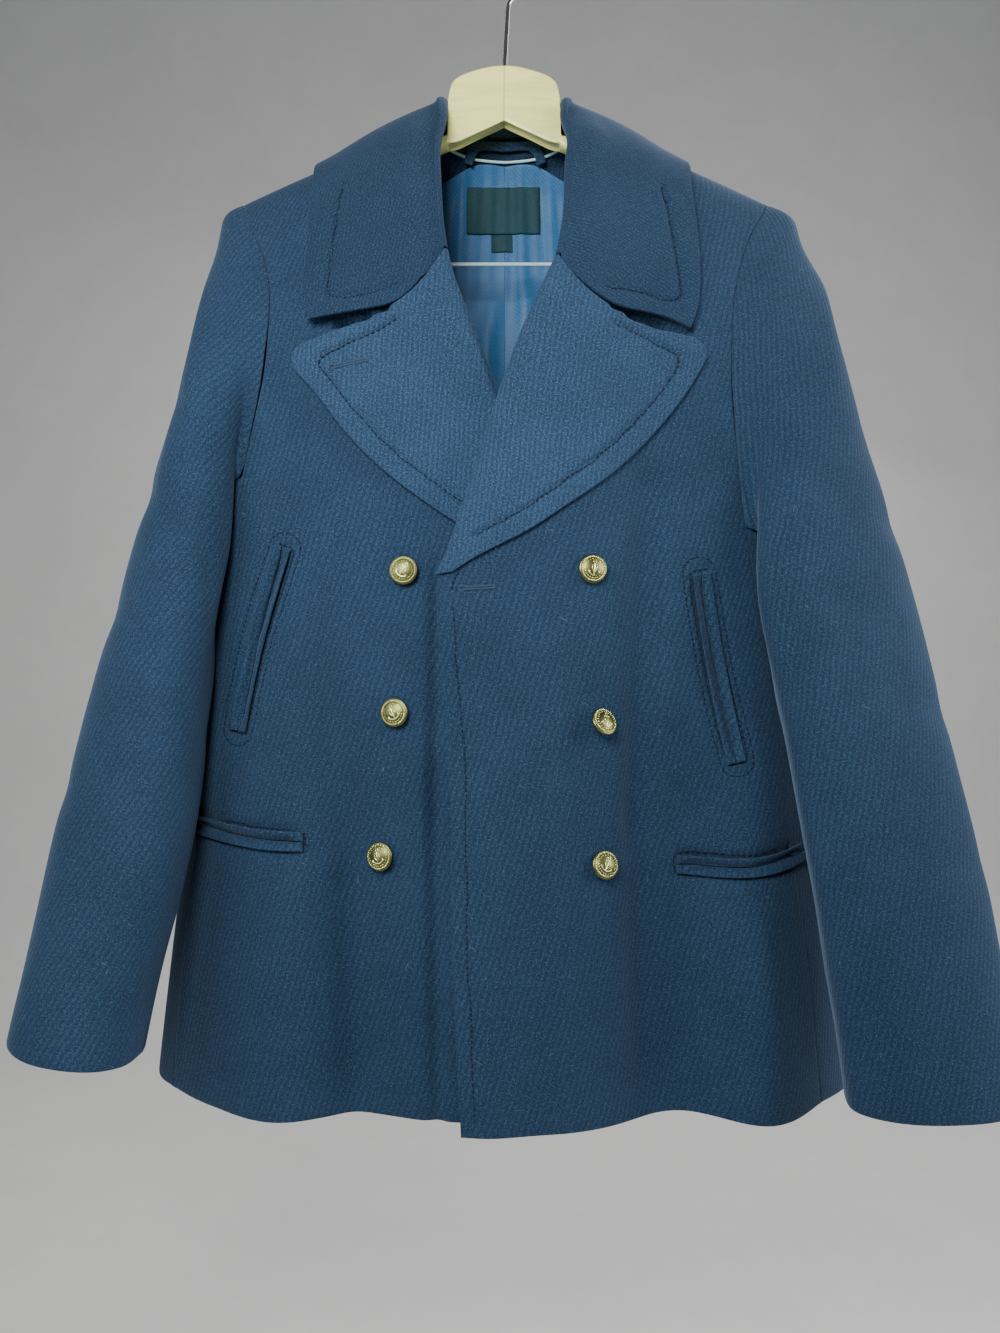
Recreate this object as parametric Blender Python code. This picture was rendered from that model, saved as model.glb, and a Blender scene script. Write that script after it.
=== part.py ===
"""Double-breasted pea coat on a plain wooden hanger, all one rigid hanging body.

Tables are in millimetres; x runs to the right of someone facing the coat, -y to its front,
z up.  The frame's origin is the point where the hook bears on its rail, HOOK_RISE above the
datum that the tables' heights count from.
"""
import math

import bmesh
import bpy
from mathutils import Vector

MM = 0.001
HOOK_RISE = 12.0          # table height 0 lies this far below the origin

# ---- cloth ----
SHELL = 2.4               # melton wall of the body and sleeves
LAPEL_WALL = 2.6          # lapel and collar, two layers pressed together
LINING_WALL = 1.0
SEAM_GAP = 0.5            # between two panels that are sewn edge to edge
LAY_GAP = 0.8             # between a trim and the panel that it lies on
SQUARENESS = 2.5          # exponent of the body's rounded section
FRONT_ROLL = 150.0        # height over which the front swells out below the shoulder
BACK_ROLL = 60.0
SLOPE_STEP = 0.002        # step used to take a surface's normal

SECTIONS = (
    # z, half_width, centre_y, front_depth, back_depth
    (-110, 226, 0, 66, 42),
    (-200, 226, 2, 76, 45),
    (-300, 226, 6, 86, 46),
    (-400, 227, 12, 95, 46),
    (-500, 232, 18, 103, 43),
    (-600, 241, 25, 110, 39),
    (-700, 254, 31, 118, 36),
    (-800, 267, 37, 126, 34),
    (-850, 273, 40, 130, 34),
)

SHOULDER = {"neck_x": 55.0, "neck_z": -120.0, "slope": 0.43, "neck_slope": 0.258}
BACK_NECK_Z = -130.0

FOLDS = (
    # hem_x, top_x, full_z, gone_z, reach, half_width
    (121, 128, -760, -430, -24, 46),
    (188, 180, -780, -450, 22, 44),
    (-97, -120, -800, -480, -12, 40),
    (-169, -165, -800, -470, 16, 46),
)
HEM_Z = -850.0

# Each row joins a point of the front edge and roll line to one of the side seam and armhole.
# Rows 0 to 8 run from the hem to the foot of the armhole, 9 to 17 on to the shoulder.
FRONT_LEFT = (
    # edge_x, edge_z, seam_x, seam_z
    (32, -848, -246, -848),
    (33, -790, -243, -790),
    (33, -730, -237, -722),
    (33, -670, -231, -670),
    (33, -610, -225, -610),
    (34, -560, -220, -560),
    (34, -515, -214, -515),
    (34, -482, -207, -470),
    (22, -428, -190, -400),
    (10, -390, -184, -374),
    (-4, -355, -178, -350),
    (-14, -325, -173, -325),
    (-26, -293, -170, -298),
    (-37, -262, -169, -272),
    (-43, -232, -173, -248),
    (-46, -198, -181, -226),
    (-48, -158, -192, -203),
    (-53, -119.5, -203, -183.6),
)
FRONT_RIGHT = (
    # edge_x, edge_z, seam_x, seam_z
    (-30, -852, 228, -852),
    (-33, -790, 222, -790),
    (-36, -730, 214, -722),
    (-37, -670, 205, -670),
    (-38, -610, 199, -610),
    (-41, -560, 191, -560),
    (-45, -515, 183, -515),
    (-46, -482, 177, -475),
    (-38, -455, 171, -438),
    (-22, -408, 166, -400),
    (-8, -362, 163, -361),
    (8, -316, 161, -328),
    (24, -278, 161, -298),
    (36, -250, 164, -270),
    (41, -216, 171, -243),
    (43, -182, 181, -218),
    (46, -150, 192, -200),
    (54, -119.7, 204, -184.1),
)
ARM_ROW = 8               # the row at the armhole's foot
SHOULDER_ROW = 16         # from here the rows bend into the shoulder seam
TOP_ROW = 17
BACK_EDGE = (
    # seam_x, share of the way up: below row 8 of the side seam, above it of the armhole
    (208, 0.0), (207, 0.125), (206, 0.26), (204, 0.39), (202, 0.52),
    (200, 0.65), (198, 0.76), (195, 0.88), (192, 1.0),
    (187, 0.12), (181, 0.25), (177, 0.38), (174, 0.5), (173, 0.62),
    (176, 0.74), (184, 0.85), (193, 0.93), (203, 1.0),
)
ARM_FOOT = {"L": {"low": -410.0, "back": -398.0}, "R": {"low": -446.0, "back": -424.0}}

OVERLAP_LIFT = 5.0        # the right front lies this far over the left one
LAPEL_LIFT = 13.0         # and this far where the left lapel lies between them
LAPEL_LIFT_Z = (-560.0, -490.0)
OVERLAP_IN = 42.0
OVERLAP_OUT = 105.0
CORNER_SWING = 13.0       # the free front corner stands out by this much more at the hem
CORNER_TOP_Z = -600.0

SLEEVES = {
    "L": (
        # z, out_x, in_x, middle_y, half_depth, shear
        (-180, 208, 196, 0, 22, 0.0),
        (-230, 228, 190, -2, 50, 0.1),
        (-290, 235, 186, -6, 58, 0.2),
        (-350, 247, 188, -12, 62, 0.25),
        (-410, 266, 192, -18, 61, 0.3),
        (-460, 279, 196, -24, 59, 0.3),
        (-505, 290, 205, -31, 56, 0.28),
        (-550, 301, 212, -40, 52, 0.25),
        (-600, 310, 216, -50, 49, 0.2),
        (-650, 319, 220, -62, 47, 0.15),
        (-700, 325, 229, -73, 46, 0.1),
        (-750, 331, 240, -83, 46, 0.05),
        (-810, 338, 250, -93, 46, 0.0),
    ),
    "R": (
        (-180, 208, 196, 0, 22, 0.0),
        (-230, 243, 186, -2, 48, 0.1),
        (-290, 252, 176, -8, 54, 0.25),
        (-350, 269, 168, -17, 54, 0.35),
        (-410, 287, 166, -28, 50, 0.4),
        (-460, 301, 169, -38, 45, 0.4),
        (-505, 309, 177, -47, 42, 0.38),
        (-550, 316, 187, -56, 40, 0.34),
        (-600, 323, 196, -65, 38, 0.28),
        (-650, 331, 203, -74, 37, 0.22),
        (-700, 338, 211, -82, 37, 0.16),
        (-750, 342, 218, -89, 37, 0.1),
        (-800, 345, 226, -95, 37, 0.05),
        (-840, 347, 231, -99, 37, 0.0),
    ),
}
CUFF_Z = {"L": (-785, -802), "R": (-829, -832)}      # at the outer and inner side
SLEEVE_BLEND = 75.0       # the armhole's shape has turned into the sleeve's after this length
SLEEVE_CLEAR = 3.0        # between a hanging sleeve and the body
SLEEVE_ROUND = 2.2


def clamp(value, low=0.0, high=1.0):
    return max(low, min(high, value))


def smooth(value):
    value = clamp(value)
    return value * value * (3.0 - 2.0 * value)


def mix(first, second, share):
    return first + (second - first) * share


def hermite(before, first, second, after, share):
    """Smooth value between two rows of an evenly stepped table."""
    start = (second - before) / 2.0
    end = (after - first) / 2.0
    s2 = share * share
    s3 = s2 * share
    return ((2 * s3 - 3 * s2 + 1) * first + (s3 - 2 * s2 + share) * start
            + (3 * s2 - 2 * s3) * second + (s3 - s2) * end)


def at_row(table, column, row):
    """Smooth value of a table's column at a fractional row, straight on past its ends."""
    last = len(table) - 1
    if row <= 0:
        return table[0][column] + (table[1][column] - table[0][column]) * row
    if row >= last:
        return table[last][column] + (table[last][column] - table[last - 1][column]) * (row - last)
    k = int(row)
    return hermite(table[max(k - 1, 0)][column], table[k][column], table[k + 1][column],
                   table[min(k + 2, last)][column], row - k)


def at_height(table, column, z):
    """Smooth value of a column at a height, in a table whose first column is z, from the top."""
    last = len(table) - 1
    if z >= table[0][0]:
        return table[0][column]
    if z <= table[last][0]:
        return table[last][column]
    k = 0
    while z < table[k + 1][0]:
        k += 1
    share = (table[k][0] - z) / (table[k][0] - table[k + 1][0])
    return hermite(table[max(k - 1, 0)][column], table[k][column], table[k + 1][column],
                   table[min(k + 2, last)][column], share)


def shoulder_z(x):
    over = abs(x) - SHOULDER["neck_x"]
    slope = SHOULDER["slope"] if over > 0 else SHOULDER["neck_slope"]
    return SHOULDER["neck_z"] - slope * over


def fold_reach(x, z):
    """How far the cloth's folds push the front out at a place."""
    reach = 0.0
    for hem_x, top_x, full_z, gone_z, height, half in FOLDS:
        grown = smooth((gone_z - z) / (gone_z - full_z))
        middle = mix(top_x, hem_x, clamp((gone_z - z) / (gone_z - HEM_Z)))
        reach += height * grown * math.exp(-1.4 * ((x - middle) / half) ** 2)
    return reach


def fullness(x, z):
    """Share of the body's full depth left at x, from its rounded section."""
    q = clamp(abs(x) / at_height(SECTIONS, 1, z), 0.0, 0.9999)
    return q, (1.0 - q ** SQUARENESS) ** (1.0 / SQUARENESS)


def swell(x, z, roll):
    return math.sqrt(max(0.0, 1.0 - (1.0 - clamp((shoulder_z(x) - z) / roll)) ** 2))


def front_y(x, z):
    q, deep = fullness(x, z)
    grow = swell(x, z, FRONT_ROLL)
    flat = 1.0 - q ** 6
    return (at_height(SECTIONS, 2, z) - at_height(SECTIONS, 3, z) * deep * grow
            - fold_reach(x, z) * flat * grow)


def back_y(x, z):
    deep = fullness(x, z)[1]
    return at_height(SECTIONS, 2, z) + at_height(SECTIONS, 4, z) * deep * swell(x, z, BACK_ROLL)


def overlap(x, z):
    """How far the right front stands off the left front's surface."""
    near = 1.0 - smooth((x - OVERLAP_IN) / (OVERLAP_OUT - OVERLAP_IN))
    high = 1.0 - smooth((z + 300.0) / 120.0)
    corner = smooth((CORNER_TOP_Z - z) / (CORNER_TOP_Z - HEM_Z)) * (1.0 - smooth((x + 40) / 110.0))
    low_z, full_z = LAPEL_LIFT_Z
    lift = mix(OVERLAP_LIFT, LAPEL_LIFT, smooth((z - low_z) / (full_z - low_z)))
    return lift * near * high + CORNER_SWING * corner


def cloth_y(side, x, z):
    return front_y(x, z) - (overlap(x, z) if side == "R" else 0.0)


SIGN = {"L": -1.0, "R": 1.0}
FRONTS = {"L": FRONT_LEFT, "R": FRONT_RIGHT}


def point(x, y, z):
    return Vector((x, y, z))


def cloth_normal(side, x, z):
    """The way out from a front's cloth."""
    step = 1.0
    over = (cloth_y(side, x + step, z) - cloth_y(side, x - step, z)) / (2 * step)
    up = (cloth_y(side, x, z + step) - cloth_y(side, x, z - step)) / (2 * step)
    return point(over, -1.0, up).normalized()


def on_front(side, x, z, off):
    """A place on a front's cloth, moved off it."""
    return point(x, cloth_y(side, x, z) - SEAM_GAP / 2.0, z) + cloth_normal(side, x, z) * off


def seam_at(side, row):
    """The front's outer edge at a row: the side seam, then the armhole."""
    return at_row(FRONTS[side], 2, row), at_row(FRONTS[side], 3, row)


def back_edge_at(side, row):
    """The back's outer edge at the same row."""
    share = at_row(BACK_EDGE, 1, row) if row <= ARM_ROW else 0.0
    foot = ARM_FOOT[side]["back"]
    x = SIGN[side] * at_row(BACK_EDGE, 0, row)
    if row <= ARM_ROW:
        return x, mix(HEM_Z, foot, clamp(share, -0.1, 1.0))
    above = (0.0,) + tuple(entry[1] for entry in BACK_EDGE[ARM_ROW + 1:])
    k = min(int(row - ARM_ROW), len(above) - 2)
    share = mix(above[k], above[k + 1], row - ARM_ROW - k)
    top = shoulder_z(BACK_EDGE[-1][0])
    return x, mix(foot, top, share)


def over_ridge(spot):
    """The same place on the far side of the shoulder seam, where the section turns over."""
    middle = at_height(SECTIONS, 2, spot.z)
    return point(spot.x, 2 * middle - spot.y, spot.z)


def front_point(side, across, row):
    """Front panel: across 0 at the front edge or roll line, 1 at the side seam or armhole."""
    table = FRONTS[side]
    if row > TOP_ROW:
        return over_ridge(front_point(side, across, 2 * TOP_ROW - row))
    x = mix(at_row(table, 0, row), at_row(table, 2, row), across)
    z = mix(at_row(table, 1, row), at_row(table, 3, row), across)
    z = mix(z, shoulder_z(x), smooth(row - SHOULDER_ROW))
    return point(x, cloth_y(side, x, z), z)


def side_point(side, across, row):
    """Side panel: across 0 at the side-front seam, 1 at the side-back seam."""
    seam_x, seam_z = seam_at(side, row)
    back_x, back_z = back_edge_at(side, row)
    dip = ARM_FOOT[side]["low"] - (seam_at(side, ARM_ROW)[1] + ARM_FOOT[side]["back"]) / 2.0
    z = mix(seam_z, back_z, across) + dip * smooth(row / ARM_ROW) * math.sin(math.pi * across)
    wide = at_height(SECTIONS, 1, z)
    first = math.asin(clamp(abs(seam_x) / wide) ** (SQUARENESS / 2.0))
    last = math.pi - math.asin(clamp(abs(back_x) / wide) ** (SQUARENESS / 2.0))
    angle = mix(first, last, across)
    x = SIGN[side] * wide * abs(math.sin(angle)) ** (2.0 / SQUARENESS)
    if angle < math.pi / 2:
        return point(x, cloth_y(side, x, z), z)
    return point(x, back_y(x, z), z)


def neck_top(x):
    """Height of the back panel's upper edge: neck curve, then shoulder seam."""
    if abs(x) >= SHOULDER["neck_x"]:
        return shoulder_z(x)
    share = abs(x) / SHOULDER["neck_x"]
    return mix(BACK_NECK_Z, SHOULDER["neck_z"], share ** 3)


def back_point(across, row):
    """Back panel: across -1 at the left seam, 1 at the right one."""
    side = "L" if across < 0 else "R"
    if row > TOP_ROW:
        return over_ridge(back_point(across, 2 * TOP_ROW - row))
    edge_x, edge_z = back_edge_at(side, row)
    end = BACK_EDGE[-1][0]
    grown = (edge_z - HEM_Z) / (shoulder_z(end) - HEM_Z)
    other = back_edge_at("R" if across < 0 else "L", row)[1]
    grown = mix((other - HEM_Z) / (shoulder_z(end) - HEM_Z), grown, 0.5 + 0.5 * abs(across))
    z = mix(HEM_Z, neck_top(across * end), grown)
    x = across * abs(edge_x)
    return point(x, back_y(x, z), z)


# ---- walls from surfaces ----
MATERIALS = {
    # slot: colour, roughness, metallic
    "melton": ((0.045, 0.085, 0.150, 1.0), 0.95, 0.0),
    "lining": ((0.050, 0.130, 0.270, 1.0), 0.40, 0.0),
    "piping": ((0.760, 0.780, 0.740, 1.0), 0.60, 0.0),
    "label": ((0.035, 0.105, 0.130, 1.0), 0.70, 0.0),
    "button_brass": ((0.430, 0.330, 0.160, 1.0), 0.45, 1.0),
    "maple": ((0.800, 0.720, 0.420, 1.0), 0.45, 0.0),
    "chrome": ((0.750, 0.750, 0.740, 1.0), 0.15, 1.0),
}


def material_for(slot):
    made = bpy.data.materials.get(slot)
    if made is None:
        colour, roughness, metallic = MATERIALS[slot]
        made = bpy.data.materials.new(slot)
        made.use_nodes = True
        shader = made.node_tree.nodes["Principled BSDF"]
        shader.inputs["Base Color"].default_value = colour
        shader.inputs["Roughness"].default_value = roughness
        shader.inputs["Metallic"].default_value = metallic
        made.diffuse_color = colour
    return made


def add_body(name, slot, points, faces):
    """One closed, smooth-shaded body from millimetre points."""
    mesh = bpy.data.meshes.new(name)
    lowered = [((p[0]) * MM, p[1] * MM, (p[2] - HOOK_RISE) * MM) for p in points]
    mesh.from_pydata(lowered, [], faces)
    shaped = bmesh.new()
    shaped.from_mesh(mesh)
    bmesh.ops.remove_doubles(shaped, verts=shaped.verts, dist=1e-7)
    bmesh.ops.recalc_face_normals(shaped, faces=shaped.faces)
    if shaped.calc_volume(signed=True) < 0:
        bmesh.ops.reverse_faces(shaped, faces=shaped.faces)
    shaped.to_mesh(mesh)
    shaped.free()
    mesh.materials.append(material_for(slot))
    for face in mesh.polygons:
        face.use_smooth = True
    body = bpy.data.objects.new(name, mesh)
    bpy.context.scene.collection.objects.link(body)
    return body


def surface_normal(surface, u, v, turn):
    along = surface(u + SLOPE_STEP, v) - surface(u - SLOPE_STEP, v)
    up = surface(u, v + SLOPE_STEP) - surface(u, v - SLOPE_STEP)
    normal = along.cross(up) * turn
    return normal.normalized()


def add_wall(name, slot, surface, columns, rows, thickness, turn, around=False, way_of=None):
    """A closed wall on a surface: thickness is measured along its normal, or the given way."""
    near = []
    far = []
    for v in rows:
        for u in columns:
            place = surface(u, v)
            way = way_of(u, v) if way_of else surface_normal(surface, u, v, turn)
            near.append(place)
            far.append(place + way * thickness)
    wide = len(columns)
    high = len(rows)
    points = near + far
    second = len(near)
    faces = []
    spans = wide if around else wide - 1
    for j in range(high - 1):
        for i in range(spans):
            k = (i + 1) % wide
            quad = (j * wide + i, j * wide + k, (j + 1) * wide + k, (j + 1) * wide + i)
            faces.append(quad)
            faces.append(tuple(second + corner for corner in reversed(quad)))
    for i in range(spans):
        k = (i + 1) % wide
        faces.append((k, i, second + i, second + k))
        base = (high - 1) * wide
        faces.append((base + i, base + k, second + base + k, second + base + i))
    if not around:
        for j in range(high - 1):
            low = j * wide
            top = (j + 1) * wide
            faces.append((low, top, second + top, second + low))
            faces.append((top + wide - 1, low + wide - 1, second + low + wide - 1,
                          second + top + wide - 1))
    return add_body(name, slot, points, faces)


def steps(count, first=0.0, last=1.0):
    return [mix(first, last, k / count) for k in range(count + 1)]


# ---- body panels ----
PANEL_ROWS = [float(k) for k in range(17)] + [16.5, 16.8, 17.0]
SIDE_ROWS = [float(k) for k in range(ARM_ROW + 1)]
FRONT_COLUMNS = 13
SIDE_COLUMNS = 6
BACK_COLUMNS = 16
HALF_GAP = SEAM_GAP / 2.0
ROLL_INSET = 4.0          # the lapel's roll stands this far in front of the front panel's edge


def front_surface(side):
    def place(across, row):
        low = front_point(side, 0.0, row)
        high = front_point(side, 1.0, row)
        reach = abs(high.x - low.x)
        inset = ROLL_INSET * smooth((row - 6.8) / 1.2) * smooth((16.9 - row) / 1.1)
        share = mix(inset, reach - HALF_GAP, across) / reach
        spot = front_point(side, share, row)
        return point(spot.x, spot.y - HALF_GAP, spot.z)
    return place


def side_surface(side):
    def place(across, row):
        return side_point(side, mix(0.003, 0.997, across), row)
    return place


def back_surface(across, row):
    spot = back_point(across * 0.9985, row)
    return point(spot.x, spot.y + HALF_GAP, spot.z)


def add_panels():
    for side, word in (("L", "left"), ("R", "right")):
        add_wall("front_" + word, "melton", front_surface(side), steps(FRONT_COLUMNS), PANEL_ROWS,
                 SHELL, -SIGN[side])
        add_wall("side_panel_" + word, "melton", side_surface(side), steps(SIDE_COLUMNS),
                 SIDE_ROWS, SHELL, -SIGN[side])
    add_wall("back", "melton", back_surface, steps(BACK_COLUMNS, -1.0, 1.0), PANEL_ROWS, SHELL, 1.0)


# ---- keeping clear of the body ----
PUSH_TRIES = 80
PUSH_RATIO = 1.012
PUSH_HALVES = 10


def in_section(side, spot, pad):
    """Is a point within pad of the hanging part of the body, below or beside the armhole?"""
    x, y, z = spot
    foot = max(ARM_FOOT[side]["low"], ARM_FOOT[side]["back"], seam_at(side, ARM_ROW)[1])
    if z > foot:
        table = FRONTS[side]
        rows = range(ARM_ROW, len(table))
        edge = min(abs(table[k][2]) for k in rows if abs(table[k][3] - z) < 40.0)
        if abs(x) > edge:
            return False
    wide = at_height(SECTIONS, 1, z) + pad
    q = abs(x) / wide
    if q >= 1.0:
        return False
    deep = (1.0 - q ** SQUARENESS) ** (1.0 / SQUARENESS)
    middle = at_height(SECTIONS, 2, z)
    front = middle - (at_height(SECTIONS, 3, z) + pad) * deep - fold_reach(x, z) * (1.0 - q ** 6)
    front -= overlap(x, z) if side == "R" else 0.0
    return front < y < middle + (at_height(SECTIONS, 4, z) + pad) * deep


def clear_of_section(side, spot, pad):
    """Moves a point straight away from the body's axis until it is clear."""
    if not in_section(side, spot, pad):
        return spot
    middle = point(0.0, at_height(SECTIONS, 2, spot.z), spot.z)
    away = spot - middle
    ratio = 1.0
    for _ in range(PUSH_TRIES):
        ratio *= PUSH_RATIO
        if not in_section(side, middle + away * ratio, pad):
            break
    low = ratio / PUSH_RATIO
    for _ in range(PUSH_HALVES):
        half = (low + ratio) / 2.0
        if in_section(side, middle + away * half, pad):
            low = half
        else:
            ratio = half
    return middle + away * ratio


# ---- sleeves ----
HEAD_LENGTHS = (0.0, 4.0, 9.0, 16.0, 26.0, 40.0, 60.0, 85.0)
SLEEVE_ROWS = 18
LIFT_WITHIN = 24.0
ARM_ANGLES = {"L": (162.0, 225.0, 256.0), "R": (172.0, 250.0, 284.0)}
UNDER_SEAMS = {"L": (0.42, 0.68), "R": (0.42, 0.72)}   # forearm and hindarm seam, share of girth


def armhole(side):
    """The armhole's edge as (place, way out from it, angle round the sleeve)."""
    sign = SIGN[side]
    front_foot, under, back_foot = ARM_ANGLES[side]
    front = []
    for row in reversed([r for r in PANEL_ROWS if r >= ARM_ROW]):
        place = front_surface(side)(1.0, row)
        way = (place - front_surface(side)(0.98, row)).normalized()
        puff = surface_normal(front_surface(side), 0.99, row, SIGN[side])
        front.append((place, way + puff * HEAD_PUFF))
    low = []
    for k in range(1, SIDE_COLUMNS):
        place = side_surface(side)(k / SIDE_COLUMNS, float(ARM_ROW))
        puff = surface_normal(side_surface(side), k / SIDE_COLUMNS, float(ARM_ROW), SIGN[side])
        low.append((place + point(0, 0, SEAM_GAP), puff + point(0, 0, 0.2)))
    back = []
    for row in [r for r in PANEL_ROWS if ARM_ROW <= r < PANEL_ROWS[-1]]:
        place = back_surface(sign, row)
        way = (place - back_surface(sign * 0.98, row)).normalized()
        puff = surface_normal(back_surface, sign * 0.99, row, -1.0)
        back.append((place, way + puff * HEAD_PUFF))
    ring = front + low + back
    corners = (0, len(front) - 1, len(front) + len(low) // 2, len(front) + len(low), len(ring))
    angles = (0.0, front_foot, under, back_foot, 360.0)
    made = []
    walked = [0.0]
    for k in range(1, len(ring) + 1):
        walked.append(walked[-1] + (ring[k % len(ring)][0] - ring[k - 1][0]).length)
    for k, (place, way) in enumerate(ring):
        part = max(i for i in range(4) if corners[i] <= k)
        share = (walked[k] - walked[corners[part]])
        share /= walked[corners[part + 1]] - walked[corners[part]]
        angle = mix(angles[part], angles[part + 1], share)
        angle = math.radians(angle)
        reach = HEAD_OUT[side] + HEAD_OUT_SWING * math.cos(angle)
        made.append((place + way.normalized() * HEAD_GAP, way * reach, angle))
    return made


def rounded(value, power):
    return math.copysign(abs(value) ** power, value)


def hanging_ring(side, angle, z):
    """A place on the hanging sleeve's section: angle 0 outside, 90 degrees in front."""
    table = SLEEVES[side]
    outer = at_height(table, 1, z)
    inner = at_height(table, 2, z)
    middle = (outer + inner) / 2.0
    local = (outer - inner) / 2.0 * rounded(math.cos(angle), 2.0 / SLEEVE_ROUND)
    y = at_height(table, 3, z) + at_height(table, 5, z) * local
    y -= at_height(table, 4, z) * rounded(math.sin(angle), 2.0 / SLEEVE_ROUND)
    return point(SIGN[side] * (middle + local), y, z)


def sleeve_surface(side):
    ring = armhole(side)
    count = len(ring)

    def column(k, row):
        start, way, angle = ring[k % count]
        outer, inner = CUFF_Z[side]
        end_z = mix(outer, inner, (1.0 - math.cos(angle)) / 2.0)
        length = start.z - end_z
        head = len(HEAD_LENGTHS) - 1
        if row <= head:
            low = int(clamp(row, 0, head - 1))
            down = mix(HEAD_LENGTHS[low], HEAD_LENGTHS[low + 1], row - low)
        else:
            down = mix(HEAD_LENGTHS[head], length, (row - head) / (SLEEVE_ROWS - head))
        turned = smooth(down / SLEEVE_BLEND)
        risen = math.sin(math.pi / 2.0 * clamp(down / LIFT_WITHIN))
        z = start.z - down * smooth(0.25 + 0.75 * clamp(down / 40.0))
        hung = hanging_ring(side, angle, z)
        near = start + way * risen
        spot = near.lerp(point(hung.x, hung.y, z), turned)
        spot.z = mix(near.z - start.z, 0.0, turned) + z
        return clear_of_section(side, spot, SLEEVE_CLEAR) if row > 0.5 else spot

    def place(u, row):
        k = math.floor(u)
        if u - k < 1e-9:
            return column(k, row)
        return hermite(column(k - 1, row), column(k, row), column(k + 1, row),
                       column(k + 2, row), u - k)
    return place, count


# how far the sleeve stands out from its seam before it turns down
HEAD_OUT = {"L": 13.0, "R": 18.0}
HEAD_OUT_SWING = 4.5      # more over the shoulder, less under the arm
HEAD_PUFF = 0.3
HEAD_GAP = 0.8
SLEEVE_SEAM = 0.032       # half of the seam's gap, in columns


def add_sleeves():
    for side, word in (("L", "left"), ("R", "right")):
        place, count = sleeve_surface(side)
        first = round(count * UNDER_SEAMS[side][0])
        second = round(count * UNDER_SEAMS[side][1])
        rows = [float(k) for k in range(SLEEVE_ROWS + 1)]
        upper = [second + SLEEVE_SEAM] + [float(k) for k in range(second + 1, count + first)]
        upper.append(count + first - SLEEVE_SEAM)
        under = [first + SLEEVE_SEAM] + [float(k) for k in range(first + 1, second)]
        under.append(second - SLEEVE_SEAM)
        add_wall("sleeve_upper_" + word, "melton", place, upper, rows, SHELL, -SIGN[side])
        add_wall("sleeve_under_" + word, "melton", place, under, rows, SHELL, -SIGN[side])


# ---- lapels ----
LAPEL_ROWS = {
    "L": (
        # front_row, edge_x, edge_z
        (7.4, 20, -468), (8.0, 0, -456), (8.75, -30, -440), (9.4, -58, -421),
        (10.15, -86, -399), (11.0, -112, -372), (11.8, -132, -345), (12.55, -147, -328),
        (13.1, -149, -317), (13.5, -143, -311),
    ),
    "R": (
        (7.3, -38, -473), (8.0, -14, -459), (8.4, 14, -445), (9.0, 44, -425),
        (9.67, 72, -404), (10.35, 98, -379), (11.1, 120, -353), (11.8, 135, -329),
        (12.35, 140, -315), (12.8, 127, -305),
    ),
}
GORGE_SAG = {"L": 17.0, "R": 16.0}     # how far the lapel's top edge bows down
TURN_PATH = (
    # along the piece from the roll, off the front's face; the path round a rolled edge
    (11.0, -(SHELL + 2.4)), (0.0, -(SHELL + 1.8)), (-2.0, -SHELL * 0.85),
    (-2.1, -SHELL * 0.2), (-0.9, LAY_GAP), (3.0, LAY_GAP + 0.4),
)
FALL_STEPS = 7
FALL_RISE = 1.6           # how far a lapel or collar leaf stands off between roll and edge


def gorge_drop(side, share, near):
    """How far a row of the lapel bows down near the gorge seam."""
    return GORGE_SAG[side] * near ** 3 * math.sin(math.pi * clamp(share) ** 0.65)


def lapel_surface(side):
    table = LAPEL_ROWS[side]

    def place(u, v):
        row = v * (len(table) - 1)
        roll = front_surface(side)(0.0, at_row(table, 0, row))
        edge_x = at_row(table, 1, row)
        edge_z = at_row(table, 2, row)
        flat = point(edge_x - roll.x, 0.0, edge_z - roll.z)
        reach = flat.length
        turn = len(TURN_PATH) - 1
        if u <= turn:
            k = int(clamp(math.floor(u), 0, turn - 1))
            along = mix(TURN_PATH[k][0], TURN_PATH[k + 1][0], u - k)
            off = mix(TURN_PATH[k][1], TURN_PATH[k + 1][1], u - k)
        else:
            share = (u - turn) / FALL_STEPS
            along = mix(TURN_PATH[turn][0], max(reach, TURN_PATH[turn][0] + 4.0), share)
            off = TURN_PATH[turn][1] + FALL_RISE * smooth(2.5 * v) * math.sin(math.pi * share)
        share = along / reach
        x = roll.x + flat.x * share
        z = roll.z + flat.z * share - gorge_drop(side, share, v)
        return on_front(side, x, z, off)
    return place


# ---- collar ----
# The core edge is what the collar folds over: the front's edge, then the top of the stand.
COLLAR = {
    # core x, y, z (y None: on the front's edge); leaf edge x, y, z (y None: on the front)
    "R": (
        (12.9, None, None, 128, None, -301), (13.8, None, None, 134, None, -283),
        (14.6, None, None, 136, None, -262), (15.3, None, None, 136, None, -238),
        (16.0, None, None, 135, None, -212), (46.8, -22, -123.5, 134, None, -184),
        (49.4, 1, -101.5, 133, 2, -152), (44.6, 21, -101, 112, 36, -176),
        (25.6, 32, -102, 60, 52, -188), (0, 39.4, -102, 0, 54, -190),
    ),
    "L": (
        (13.58, None, None, -137, None, -294), (14.2, None, None, -142, None, -277),
        (14.8, None, None, -141, None, -258), (15.3, None, None, -140, None, -236),
        (16.0, None, None, -140, None, -211), (-48.6, -22, -123.5, -139, None, -184),
        (-50.6, 1, -101.5, -137, 2, -153), (-44.6, 21, -101, -114, 36, -176),
        (-25.6, 32, -102, -60, 52, -188), (0, 39.4, -102, 0, 54, -190),
    ),
}
COLLAR_CLEAR = 2.2
COLLAR_BULGE = 2.4        # how far the leaf stands off more at the neck than in front
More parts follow.
